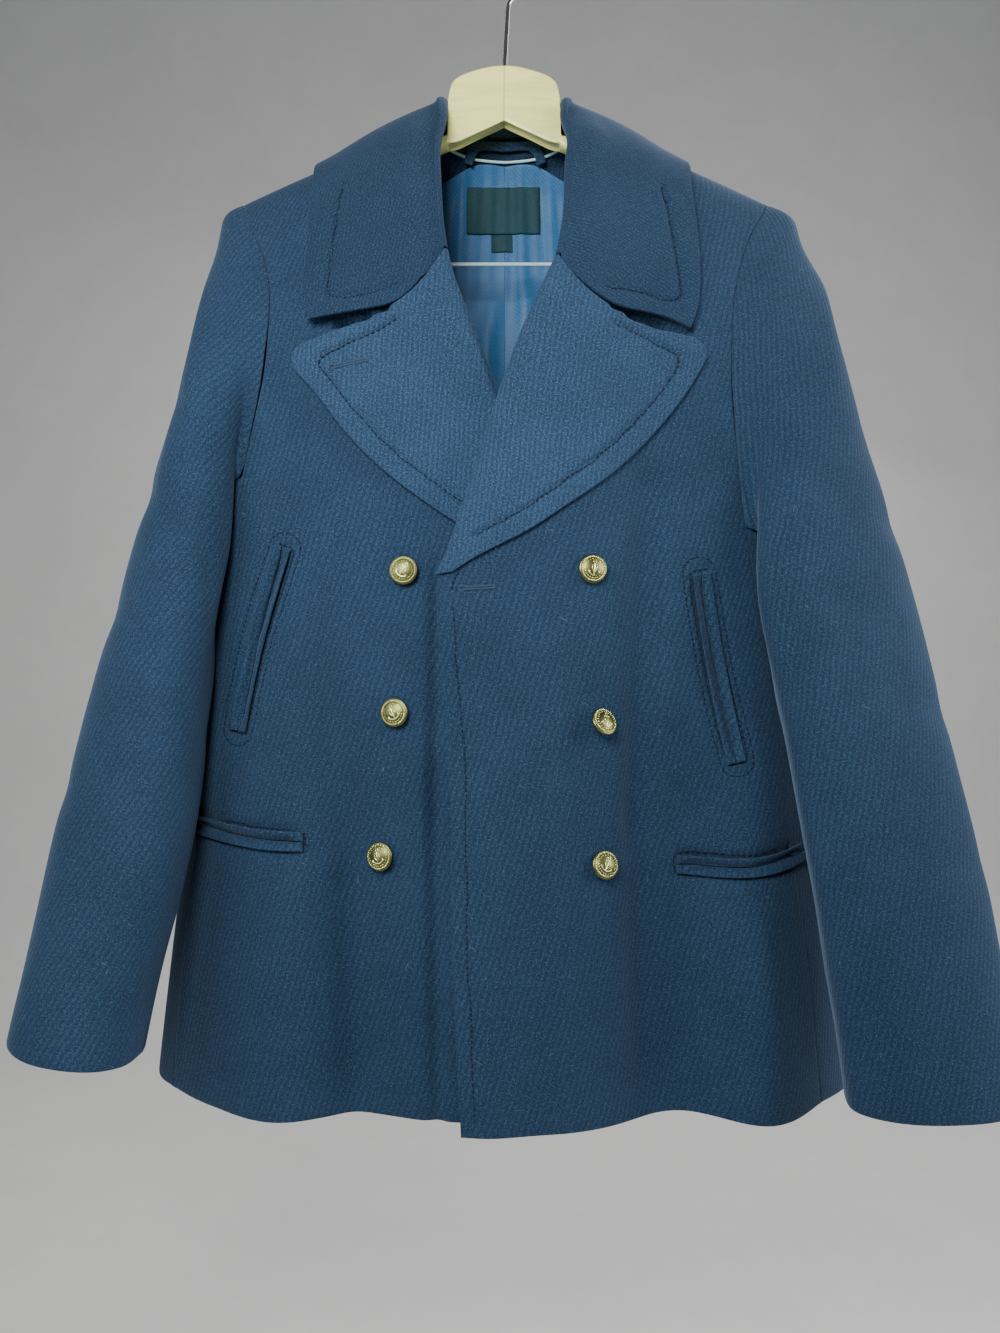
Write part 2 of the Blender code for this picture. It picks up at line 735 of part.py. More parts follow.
END_DROPS = {
    # share of the collar's end from roll to corner, how far the end bows down there
    "L": ((0.0, 0.0), (0.03, 6.0), (0.143, 18.4), (0.286, 24.2), (0.429, 22.6), (0.571, 17.4),
          (0.714, 11.8), (0.857, 5.8), (1.0, 0.0)),
    "R": ((0.0, 0.0), (0.03, 6.0), (0.143, 19.0), (0.286, 20.8), (0.429, 17.0), (0.571, 10.4),
          (0.714, 5.5), (0.857, 1.6), (1.0, 0.0)),
}
CORE_WAYS = (
    # way out from the core edge, for the collar's columns 5 to 9 of the right half
    (0.60, -0.62, 0.50), (0.93, 0.05, 0.30), (0.74, 0.66, 0.08), (0.30, 0.95, 0.0),
    (0.0, 1.0, 0.0),
)
CORE_FIRST = 5
STAND_FEET = ((53.2, 0.8, -118.2), (46.4, 19.6, -123.2), (26.6, 30.6, -127.9), (0, 39.0, -129.0))
FRONT_SHARE = 0.5         # the collar's columns below this share lie on the front's cloth
COLLAR_PARTS = 2          # mesh columns between two of the table's


def collar_columns():
    """(core, leaf edge, side, share from gorge to back) all round, from left gorge to right."""
    made = []
    for side in ("L", "R"):
        half = []
        for k, row in enumerate(COLLAR[side]):
            if row[1] is None:
                core = front_surface(side)(0.0, row[0])
            else:
                core = point(row[0], row[1], row[2])
            edge_y = row[4]
            if edge_y is None:
                edge = on_front(side, row[3], row[5], COLLAR_CLEAR)
            else:
                edge = point(row[3], edge_y, row[5])
            half.append((core, edge, side, k / (len(COLLAR[side]) - 1)))
        if side == "L":
            made += half
        else:
            made += list(reversed(half))[1:]
    return made


def within_body(side, spot, pad):
    """Is a point inside the body, or nearer to it than pad?"""
    z = spot.z - pad
    if z > shoulder_z(spot.x):
        return False
    return cloth_y(side, spot.x, z) - pad < spot.y < back_y(spot.x, z) + pad


def lifted_clear(side, spot, way, pad):
    """Moves a point along a way until it is clear of the body."""
    if not within_body(side, spot, pad):
        return spot
    far = 1.0
    while within_body(side, spot + way * far, pad) and far < 120.0:
        far += 1.0
    low = far - 1.0
    for _ in range(PUSH_HALVES):
        half = (low + far) / 2.0
        if within_body(side, spot + way * half, pad):
            low = half
        else:
            far = half
    return spot + way * far


def core_way(columns, k):
    """The way out from the core edge at a whole column."""
    core, edge, side, share = columns[int(clamp(k, 0, len(columns) - 1))]
    step = round(share * (len(COLLAR[side]) - 1))
    if step < CORE_FIRST:
        return cloth_normal(side, core.x, core.z)
    x, y, z = CORE_WAYS[step - CORE_FIRST]
    return point(x * SIGN[side], y, z).normalized()


def end_drop(side, share):
    """How far the collar's end bows down to follow the lapel along the gorge seam."""
    table = END_DROPS[side]
    share = clamp(share)
    k = max(i for i in range(len(table) - 1) if table[i][0] <= share)
    part = (share - table[k][0]) / (table[k + 1][0] - table[k][0])
    return mix(table[k][1], table[k + 1][1], part)


def collar_surface():
    columns = collar_columns()
    last = len(columns) - 1

    def column_place(k, u):
        core, edge, side, share = columns[int(clamp(k, 0, last))]
        out = core_way(columns, k)
        down = edge - core if share < FRONT_SHARE else stand_foot(columns, k) - core
        down = (down - out * down.dot(out)).normalized()
        turn = len(TURN_PATH) - 1
        length = (edge - core).length
        at_end = share == 0.0
        if u <= turn:
            k = int(clamp(math.floor(u), 0, turn - 1))
            along = mix(TURN_PATH[k][0], TURN_PATH[k + 1][0], u - k)
            off = mix(TURN_PATH[k][1], TURN_PATH[k + 1][1], u - k)
            spot = core + down * along + out * off
            if share < FRONT_SHARE:
                spot = core + down * along
                if at_end and off > 0.0:
                    spot.z -= end_drop(side, along / length)
                spot = on_front(side, spot.x, spot.z, off)
            return spot
        fall = (u - turn) / FALL_STEPS
        start = core + down * TURN_PATH[turn][0] + out * TURN_PATH[turn][1]
        spot = start.lerp(edge, fall)
        if at_end:
            spot.z -= end_drop(side, mix(TURN_PATH[turn][0] / length, 1.0, fall))
        raise_way = (out + point(0, 0, 1.2 if share > 0.4 else 0.0)).normalized()
        bulge = FALL_RISE + COLLAR_BULGE * smooth((share - 0.3) / 0.3)
        return spot + raise_way * bulge * math.sin(math.pi * fall)

    def place(u, v):
        k = math.floor(v)
        spot = hermite(column_place(k - 1, u), column_place(k, u), column_place(k + 1, u),
                       column_place(k + 2, u), v - k)
        if u <= len(TURN_PATH) - 1:
            return spot
        side = "L" if v < last / 2.0 else "R"
        way = core_way(columns, k).lerp(core_way(columns, k + 1), v - k)
        return lifted_clear(side, spot, (way + point(0, 0, 0.8)).normalized(), COLLAR_CLEAR)
    return place, last


STAND_START = 4.5         # collar column, counted from either gorge, where the stand begins


def stand_foot(columns, k):
    """The foot of the stand under a whole column of the collar."""
    core, edge, side, share = columns[int(clamp(k, 0, len(columns) - 1))]
    step = round(share * (len(COLLAR[side]) - 1))
    if step < CORE_FIRST:
        return core + point(0, 0, 0.5)
    if step == CORE_FIRST:
        return front_surface(side)(0.0, 16.5) + point(-SIGN[side] * 0.9, 0.0, 0.9)
    x, y, z = STAND_FEET[step - CORE_FIRST - 1]
    return point(SIGN[side] * x, y, z)


def stand_surface():
    columns = collar_columns()
    last = len(columns) - 1

    def column_place(k, v):
        core = columns[int(clamp(k, 0, last))][0]
        return stand_foot(columns, k).lerp(core, v)

    def place(u, v):
        k = math.floor(u)
        return hermite(column_place(k - 1, v), column_place(k, v), column_place(k + 1, v),
                       column_place(k + 2, v), u - k)
    return place, last


def add_collar_and_lapels():
    across = [float(k) for k in range(len(TURN_PATH) + FALL_STEPS)]
    for side, word in (("L", "left"), ("R", "right")):
        add_wall("lapel_" + word, "melton", lapel_surface(side), across, steps(13), LAPEL_WALL,
                 SIGN[side])
    place, last = collar_surface()
    along = [k / COLLAR_PARTS for k in range(last * COLLAR_PARTS + 1)]
    add_wall("collar", "melton", place, across, along, LAPEL_WALL, -1.0)
    stand, last = stand_surface()
    columns = collar_columns()

    def inward(u, v):
        k = math.floor(u)
        way = core_way(columns, k).lerp(core_way(columns, k + 1), u - k)
        return -way.normalized()

    count = int((last - 2 * STAND_START) * COLLAR_PARTS)
    add_wall("collar_stand", "melton", stand, steps(count, STAND_START, last - STAND_START),
             (0.0, 0.5, 0.96), SHELL, 1.0, way_of=inward)


# ---- pockets ----
JET_WIDE = 6.0
JET_WALL = 1.5
JET_APART = 1.0
JET_PARTS = 6
POCKETS = {
    # name: side, off the front, slit's x and z at its first end, middle and last end
    "welt_pocket_left": ("L", 0.9, (-157, -452), (-178, -521), (-191, -583)),
    "welt_pocket_right": ("R", 0.9, (137, -471), (148, -535), (163, -605)),
    "low_pocket_left": ("L", 1.1, (-236, -652), (-190, -657), (-141, -659)),
    "low_pocket_right": ("R", 1.25, (122, -678), (168, -678), (216, -670)),
}


def on_slit(ends, share):
    """A smooth line through a slit's two ends and middle, as x and z."""
    first, middle, last = ends
    near = 2 * (share - 0.5) * (share - 1.0)
    half = 4 * share * (1.0 - share)
    far = 2 * share * (share - 0.5)
    return tuple(first[k] * near + middle[k] * half + last[k] * far for k in range(2))


def jet_surface(side, off, ends, way):
    """A narrow jet beside a slit: way is 1 on one side of it and -1 on the other."""
    def place(u, v):
        x, z = on_slit(ends, v)
        x_next, z_next = on_slit(ends, v + 0.01)
        run = math.hypot(x_next - x, z_next - z)
        across = way * (JET_APART / 2.0 + u * JET_WIDE) / run
        spot_x = x - (z_next - z) * across
        spot_z = z + (x_next - x) * across
        return on_front(side, spot_x, spot_z, off)
    return place


def add_pockets():
    for name, (side, off, *ends) in POCKETS.items():
        for way, word in ((1, "_jet_a"), (-1, "_jet_b")):
            place = jet_surface(side, off, ends, way)
            add_wall(name + word, "melton", place, (0.0, 1.0), steps(JET_PARTS), JET_WALL,
                     1.0, way_of=lambda u, v, s=side, f=place: cloth_normal(s, f(u, v).x, f(u, v).z))


# ---- buttons ----
BUTTON_PROFILE = (
    # radius, height off the cloth: thread shank, rim, dome
    (0.0, 0.0), (1.8, 0.0), (1.8, 2.2), (8.6, 2.2), (10.0, 3.2), (9.7, 4.4), (7.4, 5.4),
    (4.0, 6.6), (0.0, 7.0),
)
BUTTON_OFF = 0.4
BUTTON_SIDES = 14
STEEP_LEAN = 0.3          # a button leaning up more than this hangs on a longer shank
STEEP_OFF = 2.9
BUTTONS = (
    # name, side, x, z, lean sideways, lean upwards
    ("button_1_left", "L", -70, -471, 0.0, 0.05),
    ("button_2_left", "L", -76, -569, -0.15, 0.1),
    ("button_3_left", "L", -86, -669, -0.15, 0.15),
    ("button_1_right", "R", 58, -471, 0.0, 0.05),
    ("button_2_right", "R", 65, -576, 0.42, 0.62),
    ("button_3_right", "R", 67, -674, 0.1, 0.3),
)


def add_lathe(name, slot, foot, axis, profile, sides):
    """A turned body: profile runs from the axis at its foot to the axis at its top."""
    aside = axis.orthogonal().normalized()
    over = axis.cross(aside)
    points = [foot + axis * profile[0][1]]
    for radius, height in profile[1:-1]:
        for k in range(sides):
            turn = 2 * math.pi * k / sides
            points.append(foot + axis * height
                          + (aside * math.cos(turn) + over * math.sin(turn)) * radius)
    points.append(foot + axis * profile[-1][1])
    faces = []
    rings = len(profile) - 2
    for k in range(sides):
        after = (k + 1) % sides
        faces.append((0, 1 + after, 1 + k))
        for ring in range(rings - 1):
            low = 1 + ring * sides
            faces.append((low + k, low + after, low + sides + after, low + sides + k))
        low = 1 + (rings - 1) * sides
        faces.append((low + k, low + after, len(points) - 1))
    return add_body(name, slot, points, faces)


def add_buttons():
    for name, side, x, z, lean_x, lean_z in BUTTONS:
        normal = cloth_normal(side, x, z)
        foot = on_front(side, x, z, BUTTON_OFF)
        axis = (normal + point(lean_x, 0, lean_z)).normalized()
        if lean_z > STEEP_LEAN:
            foot += normal * STEEP_OFF
        add_lathe(name, "button_brass", foot, axis, BUTTON_PROFILE, BUTTON_SIDES)


# ---- lining, piping, loop and labels inside the back ----
LINING_OFF = SHELL + 2.0
LINING_TOP_DROP = 4.0
LINING_HEM = 22.0
LINING_ROWS = (0.0, 0.13, 0.27, 0.41, 0.54, 0.66, 0.76, 0.83, 0.88, 0.91, 0.935, 0.96, 0.98, 1.0)
LINING_COLUMNS = 5
LINING_SHARE = 0.93       # of the back's half width that the lining covers
LINING_SEAM = 0.7         # half of the gap between the lining's two halves
LINING_TOP_HALF = 120.0
LINING_NARROW_FROM = 0.75 # from this share of the height it narrows to its top width
LINING_SIDE_DROP = 22.0   # its top edge falls by this much beside the neck
LINING_DROP_FROM = 26.0
LINING_DROP_OVER = 40.0


def inside_back(x, z, off):
    """A place inside the back panel's outer face, off it by a distance along its normal."""
    here = back_y(x, z)
    way = Vector((back_y(x + 1.0, z) - here, -1.0, back_y(x, z + 1.0) - here)).normalized()
    return point(x, here, z) + way * off


def lining_surface(sign):
    def place(u, v):
        share = v * (TOP_ROW - 1.0)
        edge = back_point(sign, share)
        top = neck_top(0.0) - LINING_TOP_DROP
        wide = abs(edge.x) * LINING_SHARE
        narrowed = smooth((v - LINING_NARROW_FROM) / (1.0 - LINING_NARROW_FROM))
        x = sign * mix(LINING_SEAM, mix(wide, LINING_TOP_HALF, narrowed), u)
        aside = smooth((abs(x) - LINING_DROP_FROM) / LINING_DROP_OVER)
        high = min(top, neck_top(x) - LINING_TOP_DROP) - LINING_SIDE_DROP * aside
        z = mix(HEM_Z + LINING_HEM, high, v)
        return inside_back(x, z, LINING_OFF)
    return place


def add_tube(name, slot, path, radius, sides=8, flat=1.0):
    """A closed tube along a path of points."""
    points = []
    count = len(path)
    aside = None
    for k, spot in enumerate(path):
        run = (path[min(k + 1, count - 1)] - path[max(k - 1, 0)]).normalized()
        if aside is None:
            aside = run.orthogonal().normalized()
        aside = (aside - run * aside.dot(run)).normalized()
        over = run.cross(aside)
        for side in range(sides):
            turn = 2 * math.pi * side / sides
            points.append(spot + (aside * math.cos(turn) + over * math.sin(turn) * flat) * radius)
    faces = []
    for k in range(count - 1):
        for side in range(sides):
            after = (side + 1) % sides
            faces.append((k * sides + side, k * sides + after, (k + 1) * sides + after,
                          (k + 1) * sides + side))
    faces.append(tuple(range(sides)))
    faces.append(tuple(range((count - 1) * sides, count * sides)))
    return add_body(name, slot, points, faces)


PIPING_RADIUS = 1.1
PIPING_HALF = 44.0
PIPING_DROP = 0.9         # below the back's top edge
PIPING_PARTS = 10
LOOP_BACK = 31.0          # y of the hang loop's middle
LOOP_BEND = 8.6           # its ends lie this much nearer to the front
LOOP_HALF = 29.0
LOOP_CENTRE_Z = -150.0    # the loop's width points away from this place
LOOP_PARTS = 16
LOOP_PATH = (
    # x, z of the hang loop's middle line
    (-29, -139), (-27, -131), (-22, -124), (-14, -121.5), (0, -121), (14, -121.5), (22, -124),
    (27, -131), (29, -139),
)
LOOP_WIDE = 7.0
LOOP_WALL = 1.4
LABELS = (
    # name, low x, high x, low z, high z
    ("main_label", -31.0, 28.5, -187.0, -149.5),
    ("size_label", -11.0, 6.0, -201.0, -187.8),
)
LABEL_WALL = 0.8
LABEL_OFF = 0.9


def add_inside():
    for sign, word in ((-1.0, "left"), (1.0, "right")):
        add_wall("lining_back_" + word, "lining", lining_surface(sign), steps(LINING_COLUMNS),
                 LINING_ROWS, LINING_WALL, sign)
    path = []
    for k in range(PIPING_PARTS + 1):
        x = mix(-PIPING_HALF, PIPING_HALF, k / PIPING_PARTS)
        z = neck_top(x) - PIPING_DROP
        path.append(inside_back(x, z, SHELL + PIPING_RADIUS + 1.0))
    add_tube("neck_piping", "piping", path, PIPING_RADIUS, 6)

    def loop(u, v):
        spot = v * (len(LOOP_PATH) - 1)
        k = int(clamp(math.floor(spot), 0, len(LOOP_PATH) - 2))
        before = LOOP_PATH[max(k - 1, 0)]
        after = LOOP_PATH[min(k + 2, len(LOOP_PATH) - 1)]
        x, z = (hermite(before[c], LOOP_PATH[k][c], LOOP_PATH[k + 1][c], after[c], spot - k)
                for c in range(2))
        over = mix(-1.0, 1.0, u) * LOOP_WIDE / 2.0
        away = (point(x, 0, z) - point(0, 0, LOOP_CENTRE_Z)).normalized()
        y = LOOP_BACK - (abs(x) / LOOP_HALF) ** 2 * LOOP_BEND
        return point(x, y, z) + away * over
    add_wall("hang_loop", "melton", loop, (0.0, 1.0), steps(LOOP_PARTS), LOOP_WALL, -1.0)
    for name, low_x, high_x, low_z, high_z in LABELS:
        def label(u, v, box=(low_x, high_x, low_z, high_z)):
            x = mix(box[0], box[1], u)
            z = mix(box[2], box[3], v)
            return inside_back(x, z, LINING_OFF + LINING_WALL + LABEL_OFF)
        add_wall(name, "label", label, steps(4), steps(3), LABEL_WALL, 1.0)



# ---- hanger ----
MITRE_X = -0.8
ARM = (
    # distance from the middle, top z, underside z, half depth
    (0.15, -78, -117.2, 6.5),
    (12, -79, -122.6, 6.5),
    (24, -82.5, -128, 6.5),
    (34, -86.8, -133.0, 6.5),
    (40.6, -93.5, -135.4, 6.5),
    (42.8, -109, -136.4, 6.5),
    (43.6, -126, -137.6, 6.5),
    (46, -129.6, -139.0, 6.5),
    (62, -132.4, -146, 6.3),
    (80, -137.6, -154, 6.2),
    (110, -148.2, -167, 6.0),
    (150, -165.6, -184, 5.8),
    (180, -178.6, -195, 5.4),
    (190, -184.0, -196, 4.2),
)
ARM_CORNERS = ((-1, 0.55), (-0.55, 1), (0.55, 1), (1, 0.55), (1, -0.55), (0.55, -1), (-0.55, -1),
               (-1, -0.55))
ARM_ROUND = 5.0
HOOK_WIRE = 1.6
HOOK_PATH = (
    # x, z counted from the bearing point, from the hanger's hump to the tip
    (-0.4, -89.5), (0.0, -80.0), (0.6, -68.0), (1.6, -52.0), (2.4, -40.0), (5.2, -34.0),
    (10.6, -29.4), (15.0, -23.4), (17.0, -15.4), (14.9, -7.0), (8.6, -0.2), (0.0, 1.6),
    (-8.6, -0.2), (-14.9, -7.0), (-17.0, -15.4), (-15.2, -22.4), (-11.6, -27.2),
)
BAR_RADIUS = 1.5
BAR_HALF = 146.0
BAR_Z = -226.8
BAR_DROP = 6.0
BAR_TOP_Z = -183.8        # the bar's ends stop here, just under the arms
BAR_SPOTS = (-90.0, -45.0, 0.0, 45.0, 90.0)
BAR_BEND = 2.0


def add_hanger():
    for sign, word in ((-1.0, "left"), (1.0, "right")):
        points = []
        for reach, top, low, deep in ARM:
            middle = (top + low) / 2.0
            half = (top - low) / 2.0
            for along, up in ARM_CORNERS:
                y = deep * (along if abs(along) == 1 else math.copysign(1 - ARM_ROUND / 2 / deep,
                                                                        along))
                z = half * (up if abs(up) == 1 else math.copysign(1 - ARM_ROUND / 2 / half, up))
                points.append(point(MITRE_X + sign * reach, y, middle + z))
        count = len(ARM_CORNERS)
        faces = [tuple(range(count)), tuple(range(len(points) - count, len(points)))]
        for k in range(len(ARM) - 1):
            for corner in range(count):
                after = (corner + 1) % count
                faces.append((k * count + corner, k * count + after,
                              (k + 1) * count + after, (k + 1) * count + corner))
        add_body("hanger_arm_" + word, "maple", points, faces)
    wire = []
    for k in range(len(HOOK_PATH) - 1):
        before = HOOK_PATH[max(k - 1, 0)]
        after = HOOK_PATH[min(k + 2, len(HOOK_PATH) - 1)]
        for part in range(2):
            x, z = (hermite(before[c], HOOK_PATH[k][c], HOOK_PATH[k + 1][c], after[c], part / 2.0)
                    for c in range(2))
            wire.append(point(x, 0, z + HOOK_RISE))
    wire.append(point(HOOK_PATH[-1][0], 0, HOOK_PATH[-1][1] + HOOK_RISE))
    add_tube("hanger_hook", "chrome", wire, HOOK_WIRE, 8)
    rail = [point(-BAR_HALF, 0, BAR_TOP_Z), point(-BAR_HALF, 0, BAR_Z + BAR_DROP),
            point(-BAR_HALF + BAR_BEND, 0, BAR_Z + BAR_BEND),
            point(-BAR_HALF + BAR_DROP, 0, BAR_Z)]
    for x in BAR_SPOTS:
        rail.append(point(x, 0, BAR_Z))
    rail += [point(-spot.x, 0, spot.z) for spot in reversed(rail[:4])]
    add_tube("trouser_bar", "maple", rail, BAR_RADIUS, 6)



for old in list(bpy.data.objects):
    bpy.data.objects.remove(old, do_unlink=True)
add_panels()
add_sleeves()
add_collar_and_lapels()
add_pockets()
add_buttons()
add_inside()
add_hanger()
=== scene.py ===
"""A navy wool pea coat on its maple hanger: cloth, stitching, buttons and wood over the solids."""
import sys
import itertools
import logging
import math
from dataclasses import dataclass, field
from enum import Enum
from typing import Callable, Iterable, Optional, Sequence

import bmesh
import bpy
import numpy as np
from mathutils import Matrix, Vector
from mathutils.bvhtree import BVHTree
from mathutils.kdtree import KDTree


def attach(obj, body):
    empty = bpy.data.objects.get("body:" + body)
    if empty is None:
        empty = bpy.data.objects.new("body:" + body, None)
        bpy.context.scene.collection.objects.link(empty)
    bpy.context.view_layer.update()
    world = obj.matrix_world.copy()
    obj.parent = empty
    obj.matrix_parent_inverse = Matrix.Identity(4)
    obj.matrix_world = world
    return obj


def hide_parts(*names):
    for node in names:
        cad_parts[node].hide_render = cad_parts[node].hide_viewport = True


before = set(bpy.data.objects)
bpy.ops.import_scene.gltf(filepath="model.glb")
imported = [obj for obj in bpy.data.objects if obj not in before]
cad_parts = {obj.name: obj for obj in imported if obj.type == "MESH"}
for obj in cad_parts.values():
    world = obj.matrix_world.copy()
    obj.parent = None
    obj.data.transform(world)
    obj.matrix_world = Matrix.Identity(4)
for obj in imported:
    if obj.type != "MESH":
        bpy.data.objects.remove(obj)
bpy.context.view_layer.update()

LOG = logging.getLogger("pea_coat")
MM = 0.001
FULL_TURN = 2 * math.pi
BODY = "root"
SIDES = ("left", "right")

# Numbers that scatter the cells of the even noise
CELL_PRIMES = (73856093, 19349663, 83492791)
SEED_PRIME = 7919
SCATTER = ((0, 1103515245, 12345), (9, 69069, 1))
LOW_BITS = 0x7FFFFFFF
LEVELS = 20011
SMALL_SWELL = 0.33
SMALL_SEED = 11

# How a solid's wall is read: weld distance, angle that parts its skins, angles that join quads,
# and the room between the flat cuts
WELD = 1e-6
FOLD_ANGLE = math.radians(62)
QUAD_FACE_ANGLE = math.radians(60)
QUAD_SHAPE_ANGLE = math.radians(85)
FLAT_MARGIN = 0.01

# How coarse points are corrected before the fine division
TRIAL_LEVEL = 2
TRIAL_PASSES = 2
PULL = 0.9

# How stitches press and seek their cloth
VALLEY_REACH = 3.0
TURNED_AWAY = -0.2
PROBE = 6.0
FRONT_OF_COAT = -0.4
NEAR_FRONT = -0.1

Pair = tuple[float, float]
Spot = tuple[float, float, float]
Socket = bpy.types.NodeSocket
Shape = tuple[list[Vector], list[tuple[int, ...]]]


# ---------------------------------------------------------------- small maths


def smooth_step(value: np.ndarray) -> np.ndarray:
    """Ease values from 0 to 1, clamped outside that range."""
    held = np.clip(value, 0.0, 1.0)
    return held * held * (3.0 - 2.0 * held)


def cloth_noise(points: np.ndarray, cell: Spot, seed: int) -> np.ndarray:
    """Make smooth uneven values over space, as slack in a cloth.

    Args:
        points: Places in metres, one row each.
        cell: Size of one swell along x, y and z in metres.
        seed: Number that picks the pattern.

    Returns:
        One value from -1 to 1 for each place.
    """
    spot = points / np.array(cell)
    base = np.floor(spot).astype(np.int64)
    part = smooth_step(spot - base)
    total = np.zeros(len(points))
    for corner in itertools.product((0, 1), repeat=3):
        cells = (base + np.array(corner)) * np.array(CELL_PRIMES)
        mixed = np.bitwise_xor.reduce(cells, axis=1) ^ seed * SEED_PRIME
        for shift, gain, more in SCATTER:
            mixed = ((mixed >> shift) * gain + more) & LOW_BITS
        value = (mixed % LEVELS) / (LEVELS // 2) - 1.0
        total += value * np.prod(np.where(np.array(corner), part, 1.0 - part), axis=1)
    return total


def even_path(points: Sequence[Vector], pitch: float, closed: bool = False) -> list[Vector]:
    """Space points evenly on a smooth line through the given ones.

    Args:
        points: Places that the line passes.
        pitch: Distance between the new points in metres.
        closed: Whether the line returns to its start.

    Returns:
        The evenly spaced points.
    """
    step_length = pitch * 0.25
    count = len(points)
    fine: list[Vector] = []
    for k in range(count if closed else count - 1):
        if closed:
            four = [points[(k + j) % count] for j in (-1, 0, 1, 2)]
        else:
            four = [points[min(max(k + j, 0), count - 1)] for j in (-1, 0, 1, 2)]
        steps = max(2, int((four[2] - four[1]).length / step_length))
        for step in range(steps):
            t = step / steps
            fine.append(0.5 * (2 * four[1] + (four[2] - four[0]) * t
                               + (2 * four[0] - 5 * four[1] + 4 * four[2] - four[3]) * t * t
                               + (3 * four[1] - four[0] - 3 * four[2] + four[3]) * t ** 3))
    fine.append(points[0].copy() if closed else points[-1].copy())
    even = [fine[0].copy()]
    travelled = 0.0
    for before, after in zip(fine, fine[1:]):
        travelled += (after - before).length
        if travelled >= pitch:
            even.append(after.copy())
            travelled = 0.0
    return even


def read_rows(items: Sequence, key: str, width: int) -> np.ndarray:
    """Read a property of every item of a mesh.

    Args:
        items: The mesh's collection, such as its vertices.
        key: Name of the property.
        width: How many numbers it has.

    Returns:
        One row for each item.
    """
    flat = np.empty(len(items) * width, np.float32)
    items.foreach_get(key, flat)
    return flat.reshape(-1, width).astype(float)


def write_rows(items: Sequence, key: str, rows: np.ndarray) -> None:
    """Write a property of every item of a mesh from rows of numbers."""
    items.foreach_set(key, rows.astype(np.float32).ravel())


# ---------------------------------------------------------------- mesh making


def new_object(name: str, mesh: bpy.types.Mesh) -> bpy.types.Object:
    """Link a mesh to the scene.

    Args:
        name: Name of the object.
        mesh: Its mesh.

    Returns:
        The object.
    """
    piece = bpy.data.objects.new(name, mesh)
    bpy.context.scene.collection.objects.link(piece)
    return piece


def new_piece(name: str, shape: Shape) -> bpy.types.Object:
    """Make a smooth-shaded object.

    Args:
        name: Name of the object and its mesh.
        shape: Points in metres and faces.

    Returns:
        The object.
    """
    points, faces = shape
    mesh = bpy.data.meshes.new(name)
    mesh.from_pydata([tuple(spot) for spot in points], [], [tuple(face) for face in faces])
    mesh.validate()
    mesh.shade_smooth()
    return new_object(name, mesh)


def round_off(piece: bpy.types.Object, level: int) -> None:
    """Subdivide a piece smoothly so that the fine surface passes through its own points.

    Args:
        piece: The coarse piece, which becomes the fine one.
        level: How many times each face is divided.
    """
    soften = piece.modifiers.new("soften", "SUBSURF")
    soften.levels = TRIAL_LEVEL
    coarse = piece.data
    aim = read_rows(coarse.vertices, "co", 3)
    held = aim.copy()
    for _ in range(TRIAL_PASSES):
        fine = piece.evaluated_get(bpy.context.evaluated_depsgraph_get()).data
        held += (aim - read_rows(fine.vertices, "co", 3)[:len(aim)]) * PULL
        write_rows(coarse.vertices, "co", held)
        coarse.update()
    soften.levels = level
    graph = bpy.context.evaluated_depsgraph_get()
    piece.data = bpy.data.meshes.new_from_object(
        piece.evaluated_get(graph), preserve_all_data_layers=True, depsgraph=graph)
    piece.modifiers.clear()
    bpy.data.meshes.remove(coarse)
    piece.data.shade_smooth()


def tube(path: Sequence[Vector], radius: Callable[[float], float], sides: int,
         closed: bool = False) -> Shape:
    """Sweep a round section along a path.

    Args:
        path: Points of the middle line.
        radius: Section radius at a share of the path from 0 to 1.
        sides: Number of sides of the section.
        closed: Whether the path is a ring.

    Returns:
        Points and faces.
    """
    count = len(path)
    points: list[Vector] = []
    faces: list[tuple[int, ...]] = []
    aside: Optional[Vector] = None
    for k, spot in enumerate(path):
        after = path[(k + 1) % count] if closed else path[min(k + 1, count - 1)]
        before = path[k - 1] if closed or k else path[0]
        run = (after - before).normalized()
        aside = run.orthogonal() if aside is None else aside - run * aside.dot(run)
        aside.normalize()
        over = run.cross(aside)
        wide = radius(k / max(count - 1, 1))
        for side in range(sides):
            turn = FULL_TURN * side / sides
            points.append(spot + (aside * math.cos(turn) + over * math.sin(turn)) * wide)
    for k in range(count if closed else count - 1):
        ring, next_ring = k * sides, (k + 1) % count * sides
        for side in range(sides):
            after_side = (side + 1) % sides
            faces.append((ring + side, ring + after_side, next_ring + after_side,
                          next_ring + side))
    if not closed:
        faces.append(tuple(reversed(range(sides))))
        faces.append(tuple(range((count - 1) * sides, count * sides)))
    return points, faces


def joined(parts: Iterable[Shape]) -> Shape:
    """Put several shapes together in one.

    Args:
        parts: Points and faces of each.

    Returns:
        Points and faces of all.
    """
    points: list[Vector] = []
    faces: list[tuple[int, ...]] = []
    for more_points, more_faces in parts:
        base = len(points)
        points.extend(more_points)
        faces.extend(tuple(base + k for k in face) for face in more_faces)
    return points, faces


# ---------------------------------------------------------------- material making


